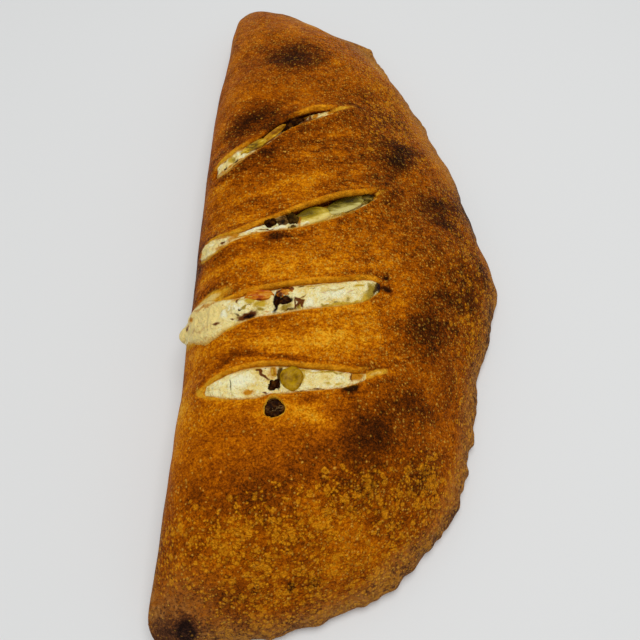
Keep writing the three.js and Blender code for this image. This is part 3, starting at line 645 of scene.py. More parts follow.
# Painted shade: a dark line along each cut, just beyond its lip, where shade falls between the lip and the
# dough behind it.
lip_painted_shade = bell((cut_away - LIP_LINE) / 1.6) * (0.5 + 0.5 * noise(crust_base, 9, 24))
bake_and_shade += 0.14 * lip_painted_shade
# Painted shade: the low parts of the walls inside the cuts are painted dark, down in the gap above the
# filling.
wall_painted_shade = smooth(down_rows, 1.3, 2.6)
bake_and_shade += 0.40 * wall_painted_shade
bake_and_shade = np.clip(bake_and_shade, 0.0, 1.0)

# The painted shade on the low walls also takes their paleness away.
pale = np.clip(pale_rows - 0.9 * wall_painted_shade, 0, 1)
left_ends = smooth(-xs, 40, 52)
CLOSED_ENDS = [(-61, 16.6, 5, 5, 1.2, 20), (-65, -25, 4.5, 5, 1.2)]
closed_ends = 1 - np.clip(patches(CLOSED_ENDS, sharp=1.0), 0, 1)
cream = (0.25 + 0.45 * left_ends) * bell((cut_away - 0.3) / (0.9 + 0.5 * left_ends))
cream = (patches(CREAM, sharp=1.0) + cream) * closed_ends * (1 - smooth(bake_and_shade, 0.75, 0.95))
cream = np.maximum(cream, 0.8 * bell((from_hole - HOLE_ROLLS_FROM - 0.1) / 0.8))
# dull is the dusty band along the pinched edge, specks the fine pale blisters, and blobs the golden ones.
rim_width = 7 + 11 * smooth(ys, -10, 40) * smooth(xs, -20, 20)
rim_width += 9 * smooth(ys, 105, 140) * smooth(xs, -45, -20)
rim_width *= 1 + 0.4 * noise(crust_base, 12, 33)
CORNER = [(-64, -167, 15, 11, 1)]
rim_depth = np.minimum(np.minimum(pinch_depth, far_depth), 2.4 * fold_depth + 2)
dull = np.clip(1 - (rim_depth - 1) / rim_width, 0, 1) + 0.8 * patches(CORNER, sharp=1.0)
dull = np.clip(dull, 0, 1)
specks = 0.42 + 0.5 * smooth(xs, -40, 20) + 0.3 * smooth(ys, 60, 110) + 0.25 * noise(crust_base, 16, 31)
FEW_SPECKS = [(-36, -112, 34, 13, 1), (2, -108, 20, 10, 0.7, 10)]
specks *= 1 - 0.8 * patches(FEW_SPECKS)
specks += 0.35 * dull * smooth(xs, -40, 0) + 0.30 * smooth(ys, 100, 130)
specks += 0.30 * bell((xs - 18) / 28) * bell((ys + 8) / 46)
specks *= (0.45 + 0.55 * smooth(ys, -100, -50)) * (1 - 0.55 * smooth(bake_and_shade, 0.58, 0.85))
BLISTERS_FROM = -132  # y at the fold, and further up towards the pinched side
blister_line = ys - BLISTERS_FROM - 0.24 * (xs + 60)
blobs = smooth(-blister_line, -3, 11) * (0.80 + 0.5 * noise(crust_base, 13, 32))
far_blobs = 0.6 * smooth(xs, 6, 26) * smooth(ys, 20, 60) * (1 - 0.4 * smooth(ys, 120, 150))
blobs += far_blobs + 0.5 * smooth(xs, 40, 56) * (1 - smooth(ys, 0, 40))
blobs *= (1 - np.clip(1.6 * patches(CORNER, sharp=1.0), 0, 1)) * (1 - 0.5 * smooth(bake_and_shade, 0.60, 0.82))
bake_and_shade += 0.07 * blobs * smooth(-ys, 80, 110) + 0.035 * np.clip(specks, 0, 1)

# What the crust's material reads. Over the skirt each goes over from the border's value to one of its own,
# by a share of the way down.
CRUST_VALUES = {
    "bake_and_shade": (bake_and_shade, 0.45, 0.8), "pale": (pale, 0, 0.2), "cream": (cream, 0, 0.3), "dull": (dull, 0.5, 0.8),
    "specks": (specks, 0.3, 0.8), "blobs": (blobs, 0, 0.8), "between": (between_cuts, 0, 0.4),
}
SKIRT_ANGLES = (12, 24, 36, 50, 64, 78, 90)  # down from the widest line


def crust_skirt():
    """Rings of vertices from the widest line down and under, for the border of the crust."""
    border = border_of(COLUMNS, ROWS)
    start = np.array([crust_points[i, j] for i, j in border])
    u = np.array([np.interp(columns_p[i], *ACROSS) for i, j in border])
    v = np.array([np.interp(q_rows[i, j], *ENDWAYS) for i, j in border])
    smooth_start = plan(u, v)
    rings = []
    for angle in SKIRT_ANGLES:
        share = 1 - math.cos(math.radians(angle))
        u0, u1, v0, v1 = (e + (t - e) * share for e, t in zip((0, 1, 0, 1), UNDERSIDE))
        ring = plan(u0 + (u1 - u0) * u, v0 + (v1 - v0) * v)
        height_left = 1 - math.sin(math.radians(angle))
        ring_z = start[:, 2] * height_left
        moved = (start[:, :2] - smooth_start[:, :2]) * (1 - share)
        rings.append(np.column_stack([ring[:, :2] + moved, ring_z]))
    return border, rings


def build_crust():
    border, rings = crust_skirt()
    vertices = [crust_points.reshape(-1, 3)] + rings
    faces = grid_faces(COLUMNS, ROWS)
    numbers = [[i * ROWS + j for i, j in border]]
    count = COLUMNS * ROWS
    for _ in rings:
        numbers.append(list(range(count, count + len(border))))
        count += len(border)
    close_below(faces, numbers)
    obj = new_mesh("baked_crust", np.vstack(vertices), faces)
    way_down = np.linspace(0, 1, len(rings) + 1)[1:, None]
    for name, (values, on_skirt, by) in CRUST_VALUES.items():
        at_border = np.array([values[i, j] for i, j in border])
        under = at_border + (on_skirt - at_border) * smooth(way_down, 0, by)
        set_attribute(obj, name, np.concatenate([values.ravel(), under.ravel()]))
    return obj


# ---- the melted cheese ----

CHEESE_ROWS = 41
CHEESE_BETWEEN = 8
CHEESE_STEP = 0.32  # between columns where it shows
CHEESE_SHOWS_TO = 20  # x
CHEESE_HIDDEN_COLUMNS = 14
# Along each cut: x, how far the cheese lies below the dough at the near and the far lip, and how far it
# reaches past the opening. Where it lies higher than the dough it has run out over the lips.
CHEESE_LEVEL = {
    "near": [
        (-54, 0.1, 0.1, 0.9), (-40, 0, 0.2, 0.9), (-31, 0.1, 0.8, 0.9), (-18, 0.3, 1.2, 0.9),
        (2, 0.5, 1.3, 0.9),
    ],
    "lower": [
        (-67, -0.5, -0.9, 2.6), (-56, -0.8, -0.9, 2.6), (-50, -0.7, -0.5, 2.4), (-43, 0.1, 0.4, 1),
        (-30, 0.7, 1.2, 0.9), (-20, 0, 0.6, 0.9), (12, 0, 0.6, 0.9),
    ],
    "upper": [
        (-61, -0.3, -0.1, 1.8), (-51, -0.2, 0.2, 1.6), (-45, 0.2, 1.6, 0.9), (-34, 0.5, 2.4, 0.9),
        (-20, 1, 3.6, 0.9), (14, 1, 4.2, 0.9),
    ],
    "far": [
        (-60, -0.3, -0.2, 1.8), (-47, -0.1, 0.4, 1.5), (-41, 0.7, 2.4, 0.9), (-20, 0.8, 3.2, 0.9),
        (-4, 0.8, 2.6, 0.9),
    ],
}
# x, half length and added width of what has run out over the far and the near lip of the lower cut
CHEESE_FLARES = [(-60, 7, 3.4), (-54.5, 5.5, 2.9)]
# What is baked into the cheese, by colour, with some marks that are painted shade and painted highlights,
# noted where they stand: x, offset from the cut's middle, half length, half width, strength and, where they
# aren't 0, the turn in degrees and how far it stands up.
CHEESE_MARKS = {
    "near": {
        "toasted": [
            (-22, -4.2, 3.6, 0.8, 0.8, 0, 0.3), (-9, 0, 10, 5, 0.55), (9, 0.2, 4, 1.6, 1.2, 0, 0.3),
        ],
        "yellow": [
            (-52.5, 0, 2, 2.4, 0.55), (-10, 3.3, 8.5, 0.8, 1.2, -3), (-8.8, -1.4, 1.6, 1, 1),
            (-4.6, -1.9, 2, 0.6, 0.9, 10), (-17.8, 1, 0.7, 3.4, 0.9, 0, 0.5),
        ],
        "green": [(-6, 2.9, 4.5, 0.55, 1, -6, -0.1)],
        "orange": [
            (-37.6, -4.1, 2.4, 1.1, 1.3, -6, 0.1), (-28.8, 3.2, 1.7, 2.6, 1.2, 0, 0.2),
            (3, 0.8, 2.8, 2.6, 1.5, 0, 0.4),
        ],
        "white": [
            (-41, 1, 6, 4, 0.9, 0, 0.15), (-30.6, -4.7, 1.4, 0.6, 1, 0, 0.4),
            (-32.4, 5, 1.6, 0.7, 0.9, 0, 0.3), (-13.2, 3.5, 2.8, 0.45, 1.1, -4, 0.4),
            (-3.2, 0.6, 2.2, 0.7, 0.9, 0, 0.3),
        ],
        "olive": [(-44.8, 0.3, 0.35, 2.9, 1.2, 10, -0.8), (-26.3, 2.4, 1.2, 3.6, 1.4, -6, -0.6)],
        "brown": [
            (-33.2, 3.2, 2.4, 0.55, 1.4, -42, 0.4), (-31.3, 1.4, 1.2, 0.5, 1.3, -50, 0.3),
            (-34.6, 4.6, 1.1, 0.5, 1, -20), (-32, 4.9, 0.6, 0.4, 1, 30), (-38.6, 4.8, 1.5, 0.3, 0.7, 10),
            (-31.9, -4.3, 1.1, 0.4, 1.1, -30), (0.8, 1, 0.22, 2.3, 1.3, 0, -0.3),
            # Painted shade where the near lip meets the cheese.
            (-10, -3.9, 8, 0.3, 1, 2, -0.2),
        ],
        "dark": [
            (-29.3, -3.6, 0.9, 0.6, 1.1, 0, -0.3), (-26.8, -1.8, 0.5, 2.2, 1.1, 0, -0.9),
            # Painted shade under the strip of cream below the olive slice.
            (-21, -5, 3.4, 0.5, 1.3, 3, -0.5),
        ],
    },
    "lower": {
        "toasted": [(-58, 0, 12, 12, 1.2), (-30.3, 1, 0.9, 4, 1, 0, 0.4)],
        "yellow": [
            (-38.4, 2.8, 2.6, 1.7, 1.3, -10, 0.8), (-34.4, -0.4, 2.2, 1.6, 1.4, 0, 0.8),
            (-18.8, -3.6, 1.8, 1.6, 1), (-6.2, 1, 2.8, 0.4, 1.5, 6, 0.3),
            (-2.6, 1.9, 1.8, 0.4, 1.4, 25, 0.3), (5, 2.4, 2.2, 0.6, 1.3, 0, 0.2),
            (-1, -4.6, 10, 0.9, 1.1, 2), (-12, 4.6, 8, 0.6, 0.8, -4), (8.2, -2.6, 2.2, 1.8, 1),
        ],
        "green": [
            (-48, -0.4, 0.9, 1.4, 1.2, 0, 0.1), (-44.8, 0.8, 3.2, 2.2, 0.6, 0, 0.2),
            (-34.2, -2.8, 1.8, 0.9, 1.1, 0, 0.2), (-40.6, 0.2, 1.4, 0.8, 1, 20, 0.2),
            (-24.2, -3.8, 2.4, 1.2, 1.2, 0, 0.6), (-9.2, -4.4, 1.8, 0.7, 1.1), (-4.6, -3.9, 1.2, 0.5, 1),
            (0.6, -3, 0.8, 1.4, 0.9), (10, -0.6, 2.2, 4, 1.2),
        ],
        "orange": [
            (-65.2, 1.2, 1.8, 1.5, 1.1), (-62.6, 3.8, 1.2, 0.9, 1.1), (-57, -3.8, 6.5, 1.4, 0.5),
            (-61, -1.8, 3, 0.8, 0.5, 20), (-60, -8.2, 9, 0.8, 0.6), (-56, 6.8, 9, 0.8, 0.8),
            (-44.2, 5.4, 1.8, 0.7, 1.1), (-31.8, -4, 1.8, 0.5, 0.9), (-9.6, 0.2, 1.6, 0.4, 1.1, -10, 0.1),
            (1.4, 0.2, 2.2, 0.35, 1.1, 16, 0.1),
        ],
        "white": [
            # The second row here and the two on the next line are painted highlights on glossy bubbles.
            (-48, -0.5, 1.6, 2.3, 1.1, 0, 0.5), (-44, 1.2, 0.5, 1.6, 1.3, 20, 0.5),
            (-42.8, 0.4, 0.4, 1.2, 1.3, -10, 0.4), (-45.6, 1.8, 0.4, 0.9, 1.3, 0, 0.4),
            # The second row here is a painted glint at the foot of the dark column.
            (-38.6, 4.9, 1.6, 0.6, 1, 0, 0.5), (-29, -4.4, 1, 0.4, 1.2, 0, 0.4),
            (-15.3, -3, 1.8, 2, 1.1, 0, 0.8), (-5, -0.6, 9, 2.2, 0.8, 0, 0.3),
        ],
        "olive": [
            (-42.6, -2.2, 1.6, 0.5, 1, -20, -0.4), (-22.4, -5, 3.6, 0.4, 1, 4, -0.3),
            (-19.2, -3.6, 1.4, 0.9, 0.8, 0, -0.2), (-18.2, 5, 1.4, 0.5, 1.2),
            (11.8, 0.2, 1, 3.4, 1.2, -10, -0.2),
        ],
        "brown": [
            (-65.4, 1.4, 1, 0.9, 1.4, 0, -0.2), (-50.4, -3.8, 1.2, 0.7, 1.3, -10, -0.2),
            (-45.6, -3, 1.2, 0.3, 1, -25, -0.1), (-54.5, -5.4, 0.5, 0.4, 1, 0, -0.1),
            (-43.2, 4.2, 0.7, 1.4, 1.2, 10, -0.3), (-39.3, -3.9, 3.4, 1.5, 1.7, -8, -0.8),
            # The second row here is painted shade under the far lip.
            (-38.4, 0.8, 2, 0.3, 0.9, 0, -0.3), (-35.5, 6.3, 5, 0.6, 1.4, 0, -0.4),
            (-19, -2.2, 1.8, 1.6, 0.45), (-13.2, 3.4, 1.4, 0.3, 1, -14),
            (-19.2, -1, 2.2, 0.45, 1.4, -40, 0.4), (-19, -3, 2.2, 0.45, 1.4, 42, 0.4),
            (-20.6, -2.4, 0.4, 2.4, 1.3, 0, 0.3), (-17.6, -3.8, 0.4, 1.4, 1.2, 10, 0.2),
            (-17, -0.2, 1.6, 0.3, 1.1, 20, 0.2),
        ],
        "dark": [
            (-42, -0.2, 0.55, 0.5, 1.4, 0, -0.6), (-38.6, -3.9, 1.9, 0.8, 1.5, -8, -1.2),
            (-28, 0.6, 1, 5.8, 1.4, -3, -1.2), (-24.4, -0.4, 2.8, 1.6, 1.5, 0, -1.8),
            (13.9, 0.2, 2, 3, 1.6, 0, 0.4),
        ],
    },
    "upper": {
        "toasted": [(-57, 0.8, 7, 4, 1, -10), (-16.8, 0, 1.2, 2.2, 1, 0, 0.8)],
        "green": [
            (-45, 0.4, 0.5, 0.8, 1), (-32.5, -0.6, 2, 0.5, 0.8), (-10, -4.4, 4, 0.8, 1.1),
            (0, -3.4, 8, 0.7, 1),
        ],
        "orange": [
            (-51, -2.6, 5, 1.6, 0.9, -10), (-63, -0.5, 2.4, 5, 0.7), (-50, 2.4, 6, 1.2, 1, -6),
            (-46.5, 0.3, 2.6, 1.4, 0.9), (-40, -1.9, 8, 0.8, 0.9, -6), (-18.8, 0.4, 0.8, 4.6, 1.6, -4, 1.6),
            (15.4, 0.2, 2.4, 2.4, 1.6, 0, 0.5),
        ],
        "white": [
            (-56.5, 1, 2.4, 2, 0.6, 0, 0.2), (-38.8, 1, 4, 1.3, 1.3, -4, 0.4),
            (-32.6, 0.8, 1.8, 1.2, 0.8, 0, 0.2), (-28.4, -2.2, 4.4, 1.2, 1.2, -12, 0.6),
            (-15.8, -3.2, 1.2, 0.7, 1.3, 0, 1),
        ],
        "olive": [
            (-23.9, -3.4, 0.5, 1.2, 1), (-21.5, -3.6, 1.6, 1.4, 1.3, 0, -0.4),
            (0, -4.4, 8, 0.5, 1.2, 3, -0.2), (9.6, 0.4, 4, 2.4, 1.3, 0, -0.4),
        ],
        "brown": [
            (-51.2, -0.5, 1.3, 0.4, 1.3, 12, -0.4), (-33, -1.5, 5, 0.4, 1.1, -14, -0.2),
            # The first row here is painted shade under the far lip.
            (-27, 4.6, 7, 0.9, 1.3, 6, -0.8), (-26.4, -0.9, 2.4, 0.35, 1), (-18.9, 0.2, 0.7, 3.6, 0.7, -4),
        ],
        "dark": [
            # The second row here and the row below are painted shade under the far lip.
            (-30.4, 3, 2.4, 1.4, 1.2, 0, -0.6), (-4, 5.4, 14, 1, 1.4, 3, -1.2),
            (9, 3, 5, 0.8, 1.3, -8, -0.6),
        ],
    },
    "far": {
        "toasted": [
            (-51, 0, 9, 5, 0.9, -6), (-6.2, 0.8, 1.2, 2, 1, 0, 0.4), (-7.6, -1.2, 2.4, 2, 1, 0, 0.2),
        ],
        "yellow": [
            (-50.4, 0.6, 1.1, 3.2, 1.2, 14, -0.2), (-43.4, 2, 3.4, 1.6, 1.2),
            (-24.4, 1, 0.6, 2.6, 1.1, 0, 0.3), (-13.4, 1.4, 1.6, 2, 0.8, 0, 0.3),
        ],
        "green": [(-49.2, -0.8, 0.7, 1.8, 1, 10, -0.3), (-42.6, 0.4, 3, 2, 1), (-31, 3, 4, 1, 0.9)],
        "orange": [
            (-59.5, 0, 3.6, 5, 1.1), (-50, -3.6, 9, 1, 0.9), (-50, 3.8, 9, 1, 0.9), (-34, 0, 7, 3.2, 1.2),
            (-10.6, 1.2, 1.2, 2.4, 1.1, 0, 0.2), (-2.6, 0.8, 2, 2, 1.6, 0, 0.2),
            (-11.8, -1.4, 1.6, 1.8, 1.2, 0, 0.2), (-4.4, -0.8, 1.6, 1.2, 1.2, 0, 0.1),
        ],
        "white": [
            (-47.2, 1, 0.9, 2.4, 0.8, 8, 0.5), (-54.8, 0.6, 1.4, 2.6, 0.6, 14, 0.3),
            (-44.6, -2.4, 1, 1.8, 0.8, 14, 0.5), (-40, -3.6, 2.4, 0.8, 0.7, 0, 0.2),
        ],
        "olive": [(-48.2, -2.8, 1.2, 0.8, 1.3, 0, -0.5)],
        "brown": [
            # The first row here is painted shade under the far lip.
            (-28, 2.4, 17, 1.3, 1.2, 0, -0.8), (-36, -1.4, 6, 1.6, 1, 4, -0.2),
            (-16.4, 1, 2, 3.4, 1.2, 0, -0.3), (-11.2, 1.8, 0.35, 0.7, 1.2), (-9.8, 0.6, 0.35, 0.6, 1.2),
            (-20, -3, 18, 1.2, 1, 0, -0.2), (-13.8, -0.8, 0.6, 1.6, 1.1),
            (-9.4, -0.2, 1.8, 0.35, 1.2, 10, -0.1),
        ],
        "dark": [
            # The first row here is painted shade under the far lip.
            (-24, 3.4, 14, 0.7, 1, 0, -0.6), (-53.2, 2.7, 0.6, 0.9, 1.4, 20, -0.6),
            (-52.6, -2.6, 0.7, 0.8, 1.4, 30, -0.6), (-42.2, -1.2, 0.8, 0.9, 1.2, 0, -0.4),
        ],
    },
}
EDGE_TOAST_AND_SHADE_SHARE = {"near": 0.0, "lower": 0.0, "upper": 0.30, "far": 0.35}  # how much more of the width has the toasted edge and its painted shade
CHEESE_SHADES = {
    "toasted": (0.92, 0.72, 0.26), "yellow": (0.62, 0.40, 0.028), "green": (0.38, 0.25, 0.022),
    "orange": (0.58, 0.225, 0.005), "white": (0.98, 0.93, 0.60), "olive": (0.085, 0.040, 0.001),
    "brown": (0.145, 0.034, 0.001), "dark": (0.014, 0.0015, 0.0001),
}
# height, size and seed, and the same for what makes the outlines of the marks uneven along x and along y
CHEESE_LUMPS = [(0.50, 5.2, 41), (0.50, 2.4, 42), (0.30, 1.2, 43)]
MARK_WOBBLES = [(0.7, 2.4, 44), (0.2, 0.9, 46)], [(0.6, 2.2, 45), (0.2, 0.9, 47)]
CHEESE_ROLL = 2.6  # how far its edges roll down
CHEESE_GAP = 0.8  # from its edge to the first row under the dough


def cheese_columns():
    """Where the cheese's columns lie over p: close together where it shows."""
    first = 0.004
    shows = 0
    for name in CUTS:
        p = np.linspace(0.2, 0.95, 60)
        shows = max(shows, float(np.interp(CHEESE_SHOWS_TO, crossings(name, p)[4], p)))
    last = float(np.interp(HOLLOW[1], ACROSS[1], ACROSS[0]))
    count = int(round(shows * ACROSS_LENGTH / CHEESE_STEP))
    hidden = np.linspace(shows, last, CHEESE_HIDDEN_COLUMNS)[1:]
    return np.concatenate([np.linspace(first, shows, count), hidden])


def cheese_in_cut(name, p):
    """The cheese's rows in one cut: q, depth below the dough, share from the middle, and its marks."""
    at, half, depth, per_mm, x = crossings(name, p)
    shown = smooth(depth, 1.0, 3.6) * opens_at(name, x)
    level = np.array(CHEESE_LEVEL[name], float)
    near_sink, far_sink, spread = (np.interp(x, level[:, 0], level[:, k]) for k in (1, 2, 3))
    t = np.linspace(-1, 1, CHEESE_ROWS)[:, None]
    width = half + spread
    if name == "lower":
        far_flare, near_flare = (wider * bell((x - middle) / reach) for middle, reach, wider in CHEESE_FLARES)
        width = width + np.where(t > 0, far_flare, near_flare)
    q = at + t * width * per_mm
    place, _ = on_surface(np.broadcast_to(p, q.shape), q)
    offset = place[..., 1] - cut_at(name, place[..., 0])[0]
    wobble_x, wobble_y = (layers(place, rows) for rows in MARK_WOBBLES)
    masks = {}
    raised = layers(place, CHEESE_LUMPS)
    for colour in CHEESE_SHADES:
        rows = CHEESE_MARKS[name].get(colour, [])
        flat = [row[:6] for row in rows]
        standing = [(*row[:4], row[6], row[5]) for row in rows if len(row) > 6]
        masks[colour] = patches(flat, place[..., 0] + wobble_x, offset + wobble_y, sharp=1.1)
        raised += patches(standing, place[..., 0], offset)
    sink = near_sink + (far_sink - near_sink) * smooth(t, -0.9, 1.0)
    inner = 1 - np.abs(t) ** 3
    down = sink + CHEESE_ROLL * np.abs(t) ** 5 - raised * inner
    down = DOUGH_OVER_FILLING + (down - DOUGH_OVER_FILLING) * shown
    narrowing = 1 + EDGE_TOAST_AND_SHADE_SHARE[name] * (0.5 + 0.5 * smooth(place[..., 0], -54, -44))
    return q, down, np.abs(t) * narrowing, masks, per_mm


def build_cheese():
    p = cheese_columns()
    q_low, q_high = (float(np.interp(v, ENDWAYS[1], ENDWAYS[0])) for v in HOLLOW[2:])
    parts = {key: [] for key in ("q", "down", "edge", *CHEESE_SHADES)}

    def add(q, down, edge, masks):
        for key, value in (("q", q), ("down", down), ("edge", edge), *masks.items()):
            parts[key].append(np.broadcast_to(value, q.shape))

    nothing = dict.fromkeys(CHEESE_SHADES, 0.0)
    previous = np.full(len(p), q_low)
    for name in NEAR_TO_FAR:
        q, down, edge, masks, per_mm = cheese_in_cut(name, p)
        share = np.linspace(0, 1, CHEESE_BETWEEN + 1)[:, None]
        lead = q[0] - CHEESE_GAP * per_mm
        add(previous + (lead - previous) * share, DOUGH_OVER_FILLING, 1, nothing)
        add(q, down, edge, masks)
        previous = q[-1] + CHEESE_GAP * per_mm
    share = np.linspace(0, 1, CHEESE_BETWEEN + 1)[:, None]
    add(previous + (q_high - previous) * share, DOUGH_OVER_FILLING, 1, nothing)
    fields = {key: np.vstack(value).T for key, value in parts.items()}
    columns, rows = fields["q"].shape
    base, normal = on_surface(np.repeat(p[:, None], rows, 1), fields["q"])
    points = base - normal * fields["down"][..., None]
    points[..., 2] = np.maximum(points[..., 2], LEAST_FILLING_TOP)
    faces = grid_faces(columns, rows)
    border = border_of(columns, rows)
    under = np.array([points[i, j] for i, j in border])
    under[:, 2] = FILLING_BOTTOM
    start = columns * rows
    close_below(faces, [[i * rows + j for i, j in border], list(range(start, start + len(border)))])
    obj = new_mesh("melted_cheese", np.vstack([points.reshape(-1, 3), under]), faces)
    for name in ("edge", *CHEESE_SHADES):
        values = np.clip(fields[name], 0, 1.2).ravel()
        set_attribute(obj, name, np.concatenate([values, np.zeros(len(border))]))
    return obj


# ---- toppings ----


def rounded_box(cells, power):
    """Box of side 1 cut into cells each way, with its edges and corners rounded."""
    bm = bmesh.new()
    bmesh.ops.create_cube(bm, size=2)
    bmesh.ops.subdivide_edges(bm, edges=bm.edges[:], cuts=cells, use_grid_fill=True)
    vertices = np.array([v.co[:] for v in bm.verts])
    faces = [tuple(v.index for v in f.verts) for f in bm.faces]
    bm.free()
    length = (np.abs(vertices) ** power).sum(1, keepdims=True) ** (1 / power)
    return vertices / length * 0.5, faces


def chunk(size, seed):
    """Torn, lumpy bit."""
    vertices, faces = rounded_box(17, 2.5)
    vertices = vertices * (1 + 0.30 * noise(vertices, 0.45, seed)[:, None])
    vertices = vertices * (1 + 0.12 * noise(vertices, 0.18, seed + 1)[:, None])
    vertices += 0.03 * np.column_stack([noise(vertices, 0.10, seed + k) for k in (2, 3, 4)])
    return vertices * size, faces


def strip(size, seed):
    """Bent slice of pepper with a cupped, ribbed section."""
    vertices, faces = rounded_box(19, 4)
    x, y, z = vertices.T
    ribs = 0.20 * np.cos(2 * math.pi * (2.1 * y + 0.3 * x + 0.3 * seed))
    bend = 0.9 * (0.25 - x * x) - 0.16 * (2 * y) ** 2 * size[2] + ribs + 0.22 * noise(vertices, 0.5, seed)
    y = y * (1 - 0.42 * (2 * x) ** 2) * (1 + 0.12 * noise(vertices, 0.4, seed + 1))
    x = x * (1 + 0.12 * noise(vertices, 0.3, seed + 2))
    return np.column_stack([x * size[0], y * size[1], z * size[2] + bend]), faces


def slice_of_olive(size, seed):
    """Round slice with a sunken middle, where the stone was."""
    rings, around = 26, 60
    roll = np.linspace(0, math.pi, rings)[:, None]
    turn = np.linspace(0, 2 * math.pi, around, False)[None, :]
    radius = 0.5 * np.sin(roll) ** 0.45 * (1 + 0.03 * np.cos(3 * turn + seed) + 0.02 * np.cos(5 * turn))
    x, y = radius * np.cos(turn), radius * np.sin(turn)
    z = 0.5 * np.sign(np.cos(roll)) * np.abs(np.cos(roll)) ** 0.6 * np.ones_like(turn)
    z = z * (1 - 0.62 * bell(np.hypot(x, y) / 0.19))
    points = np.stack([x, y, z], -1).reshape(-1, 3)
    points += 0.014 * np.column_stack([noise(points, 0.16, seed + k) for k in (1, 2, 3)])
    first, last = points[:around].mean(0), points[-around:].mean(0)
    points = np.vstack([first, points[around:-around], last])
    count = len(points) - 1
    faces = []
    for j in range(around):
        k = (j + 1) % around
        faces.append((0, 1 + j, 1 + k))
        faces.append((count, count - around + k, count - around + j))
    for i in range(rings - 3):
        for j in range(around):
            a, k = 1 + i * around, (j + 1) % around
            faces.append((a + j, a + around + j, a + around + k, a + k))
    return points * size, faces


def pair(size, seed):
    """Two bits side by side, joined at a waist."""
    vertices, faces = chunk((1, 1, 1), seed)
    waist = 1 - 0.6 * bell((vertices[:, :1] + 0.05) / 0.10)
    vertices[:, 1:] *= waist
    return vertices * size, faces


FORMS = {"chunk": chunk, "pair": pair, "strip": strip, "slice": slice_of_olive}
# form, finish, x, y, below the top of the dough, size, turns in degrees
TOPPINGS = {
    "pepper_green": ("strip", "pepper_green", -39.8, 27.8, 1.4, (14.5, 3.9, 2.0), (10, 0, 41)),
    "pepper_yellow": ("strip", "pepper_yellow", -31.4, 36.0, 1.4, (16.5, 3.3, 2.0), (10, 0, 47)),
    "olive_far": ("pair", "olive_black", -23.6, 42.4, 1.8, (12.6, 4.4, 4.0), (6, 0, 33)),
    "olive_upper": ("chunk", "olive_black", -30.8, -16.4, 2.2, (5.6, 5.2, 4.6), (0, 12, 20)),
    "olive_split": ("chunk", "olive_brown", -26.6, -15.4, 2.9, (7.0, 6.8, 4.5), (0, 0, 20)),
    "pepper_edge": ("chunk", "olive_edge", -21.6, -15.0, 2.9, (4.2, 9.0, 4.5), (-6, 4, 10)),
    "pepper_pale_left": ("strip", "pepper_pale", -13.0, -12.2, 2.3, (14.5, 9.4, 2.2), (-10, 2, 22)),
    "pepper_pale_right": ("strip", "pepper_grey", 0.2, -6.2, 2.2, (18.5, 8.6, 2.2), (-12, 2, 26)),
    "pepper_end": ("strip", "pepper_dark", 9.0, -1.9, 2.3, (9.5, 5.2, 2.0), (-8, 0, 30)),
    "pepper_in_cheese": ("chunk", "pepper_pale", -45.2, -60.0, 2.6, (5.2, 4.2, 4), (0, 6, 10)),
    "tomato": ("strip", "tomato", -35.0, -52.5, 1.2, (11.0, 5.0, 2.6), (-8, 0, 6)),
    "ham": ("chunk", "ham", -24.4, -51.0, 2.0, (7.4, 5.0, 3.6), (0, 0, 10)),
    "olive_lower": ("chunk", "olive_black", -24.6, -55.6, 2.8, (7.8, 5.2, 4), (8, 0, 8)),
    "olive_green": ("chunk", "olive_green", 10.4, -48.6, 3.0, (5.0, 6.2, 4.5), (0, 0, 10)),
    "olive_near": ("chunk", "olive_black", -28.6, -89.9, 1.5, (4.6, 5.0, 4), (0, 0, 0)),
    "olive_near_brown": ("chunk", "olive_orange", -28.8, -85.4, 2.2, (3.8, 4.6, 4), (0, 0, 0)),
    "olive_slice_green": ("slice", "olive_disc", -21.9, -87.6, 0.8, (8.8, 9.6, 2.6), (5, -5, 0)),
    "olive_slice_black": ("slice", "olive_skin", hole_x, hole_y, 0.7, (7.6, 7.4, 2.6), (0, 0, 0)),
}


def placed(shape, x, y, down, turns):
    """Vertices of a shape turned and put that far below the top of the dough."""
    vertices, faces = shape
    turn = np.array(Euler([math.radians(a) for a in turns]).to_matrix())
    z = float(height(np.array([x]), np.array([y]))[0]) - down
    return vertices @ turn.T + [x, y, z], faces


DROP_SHIFT = (0.5, 0.9, 0)  # from its place in the CAD model


def drop():
    vertices, faces = rounded_box(14, 2)
    vertices = vertices * (0.94 + 0.20 * noise(vertices, 0.55, 73)[:, None])
    return vertices * 2 * np.array(CHEESE_DROP["radii"]) + np.add(CHEESE_DROP["at"], DROP_SHIFT), faces


# ---- materials ----


class Value:
    """A number that a material works out at each point. Sums and products of values are values too."""

    def __init__(self, graph, socket):
        self.graph = graph
        self.socket = socket

    def __add__(self, other):
        return self.graph.math("ADD", self, other)

    def __sub__(self, other):
        return self.graph.math("SUBTRACT", self, other)

    def __mul__(self, other):
        return self.graph.math("MULTIPLY", self, other)

    def __truediv__(self, other):
        return self.graph.math("DIVIDE", self, other)

    def __lt__(self, other):
        return self.graph.math("LESS_THAN", self, other)

    def __abs__(self):
        return self.graph.math("ABSOLUTE", self)


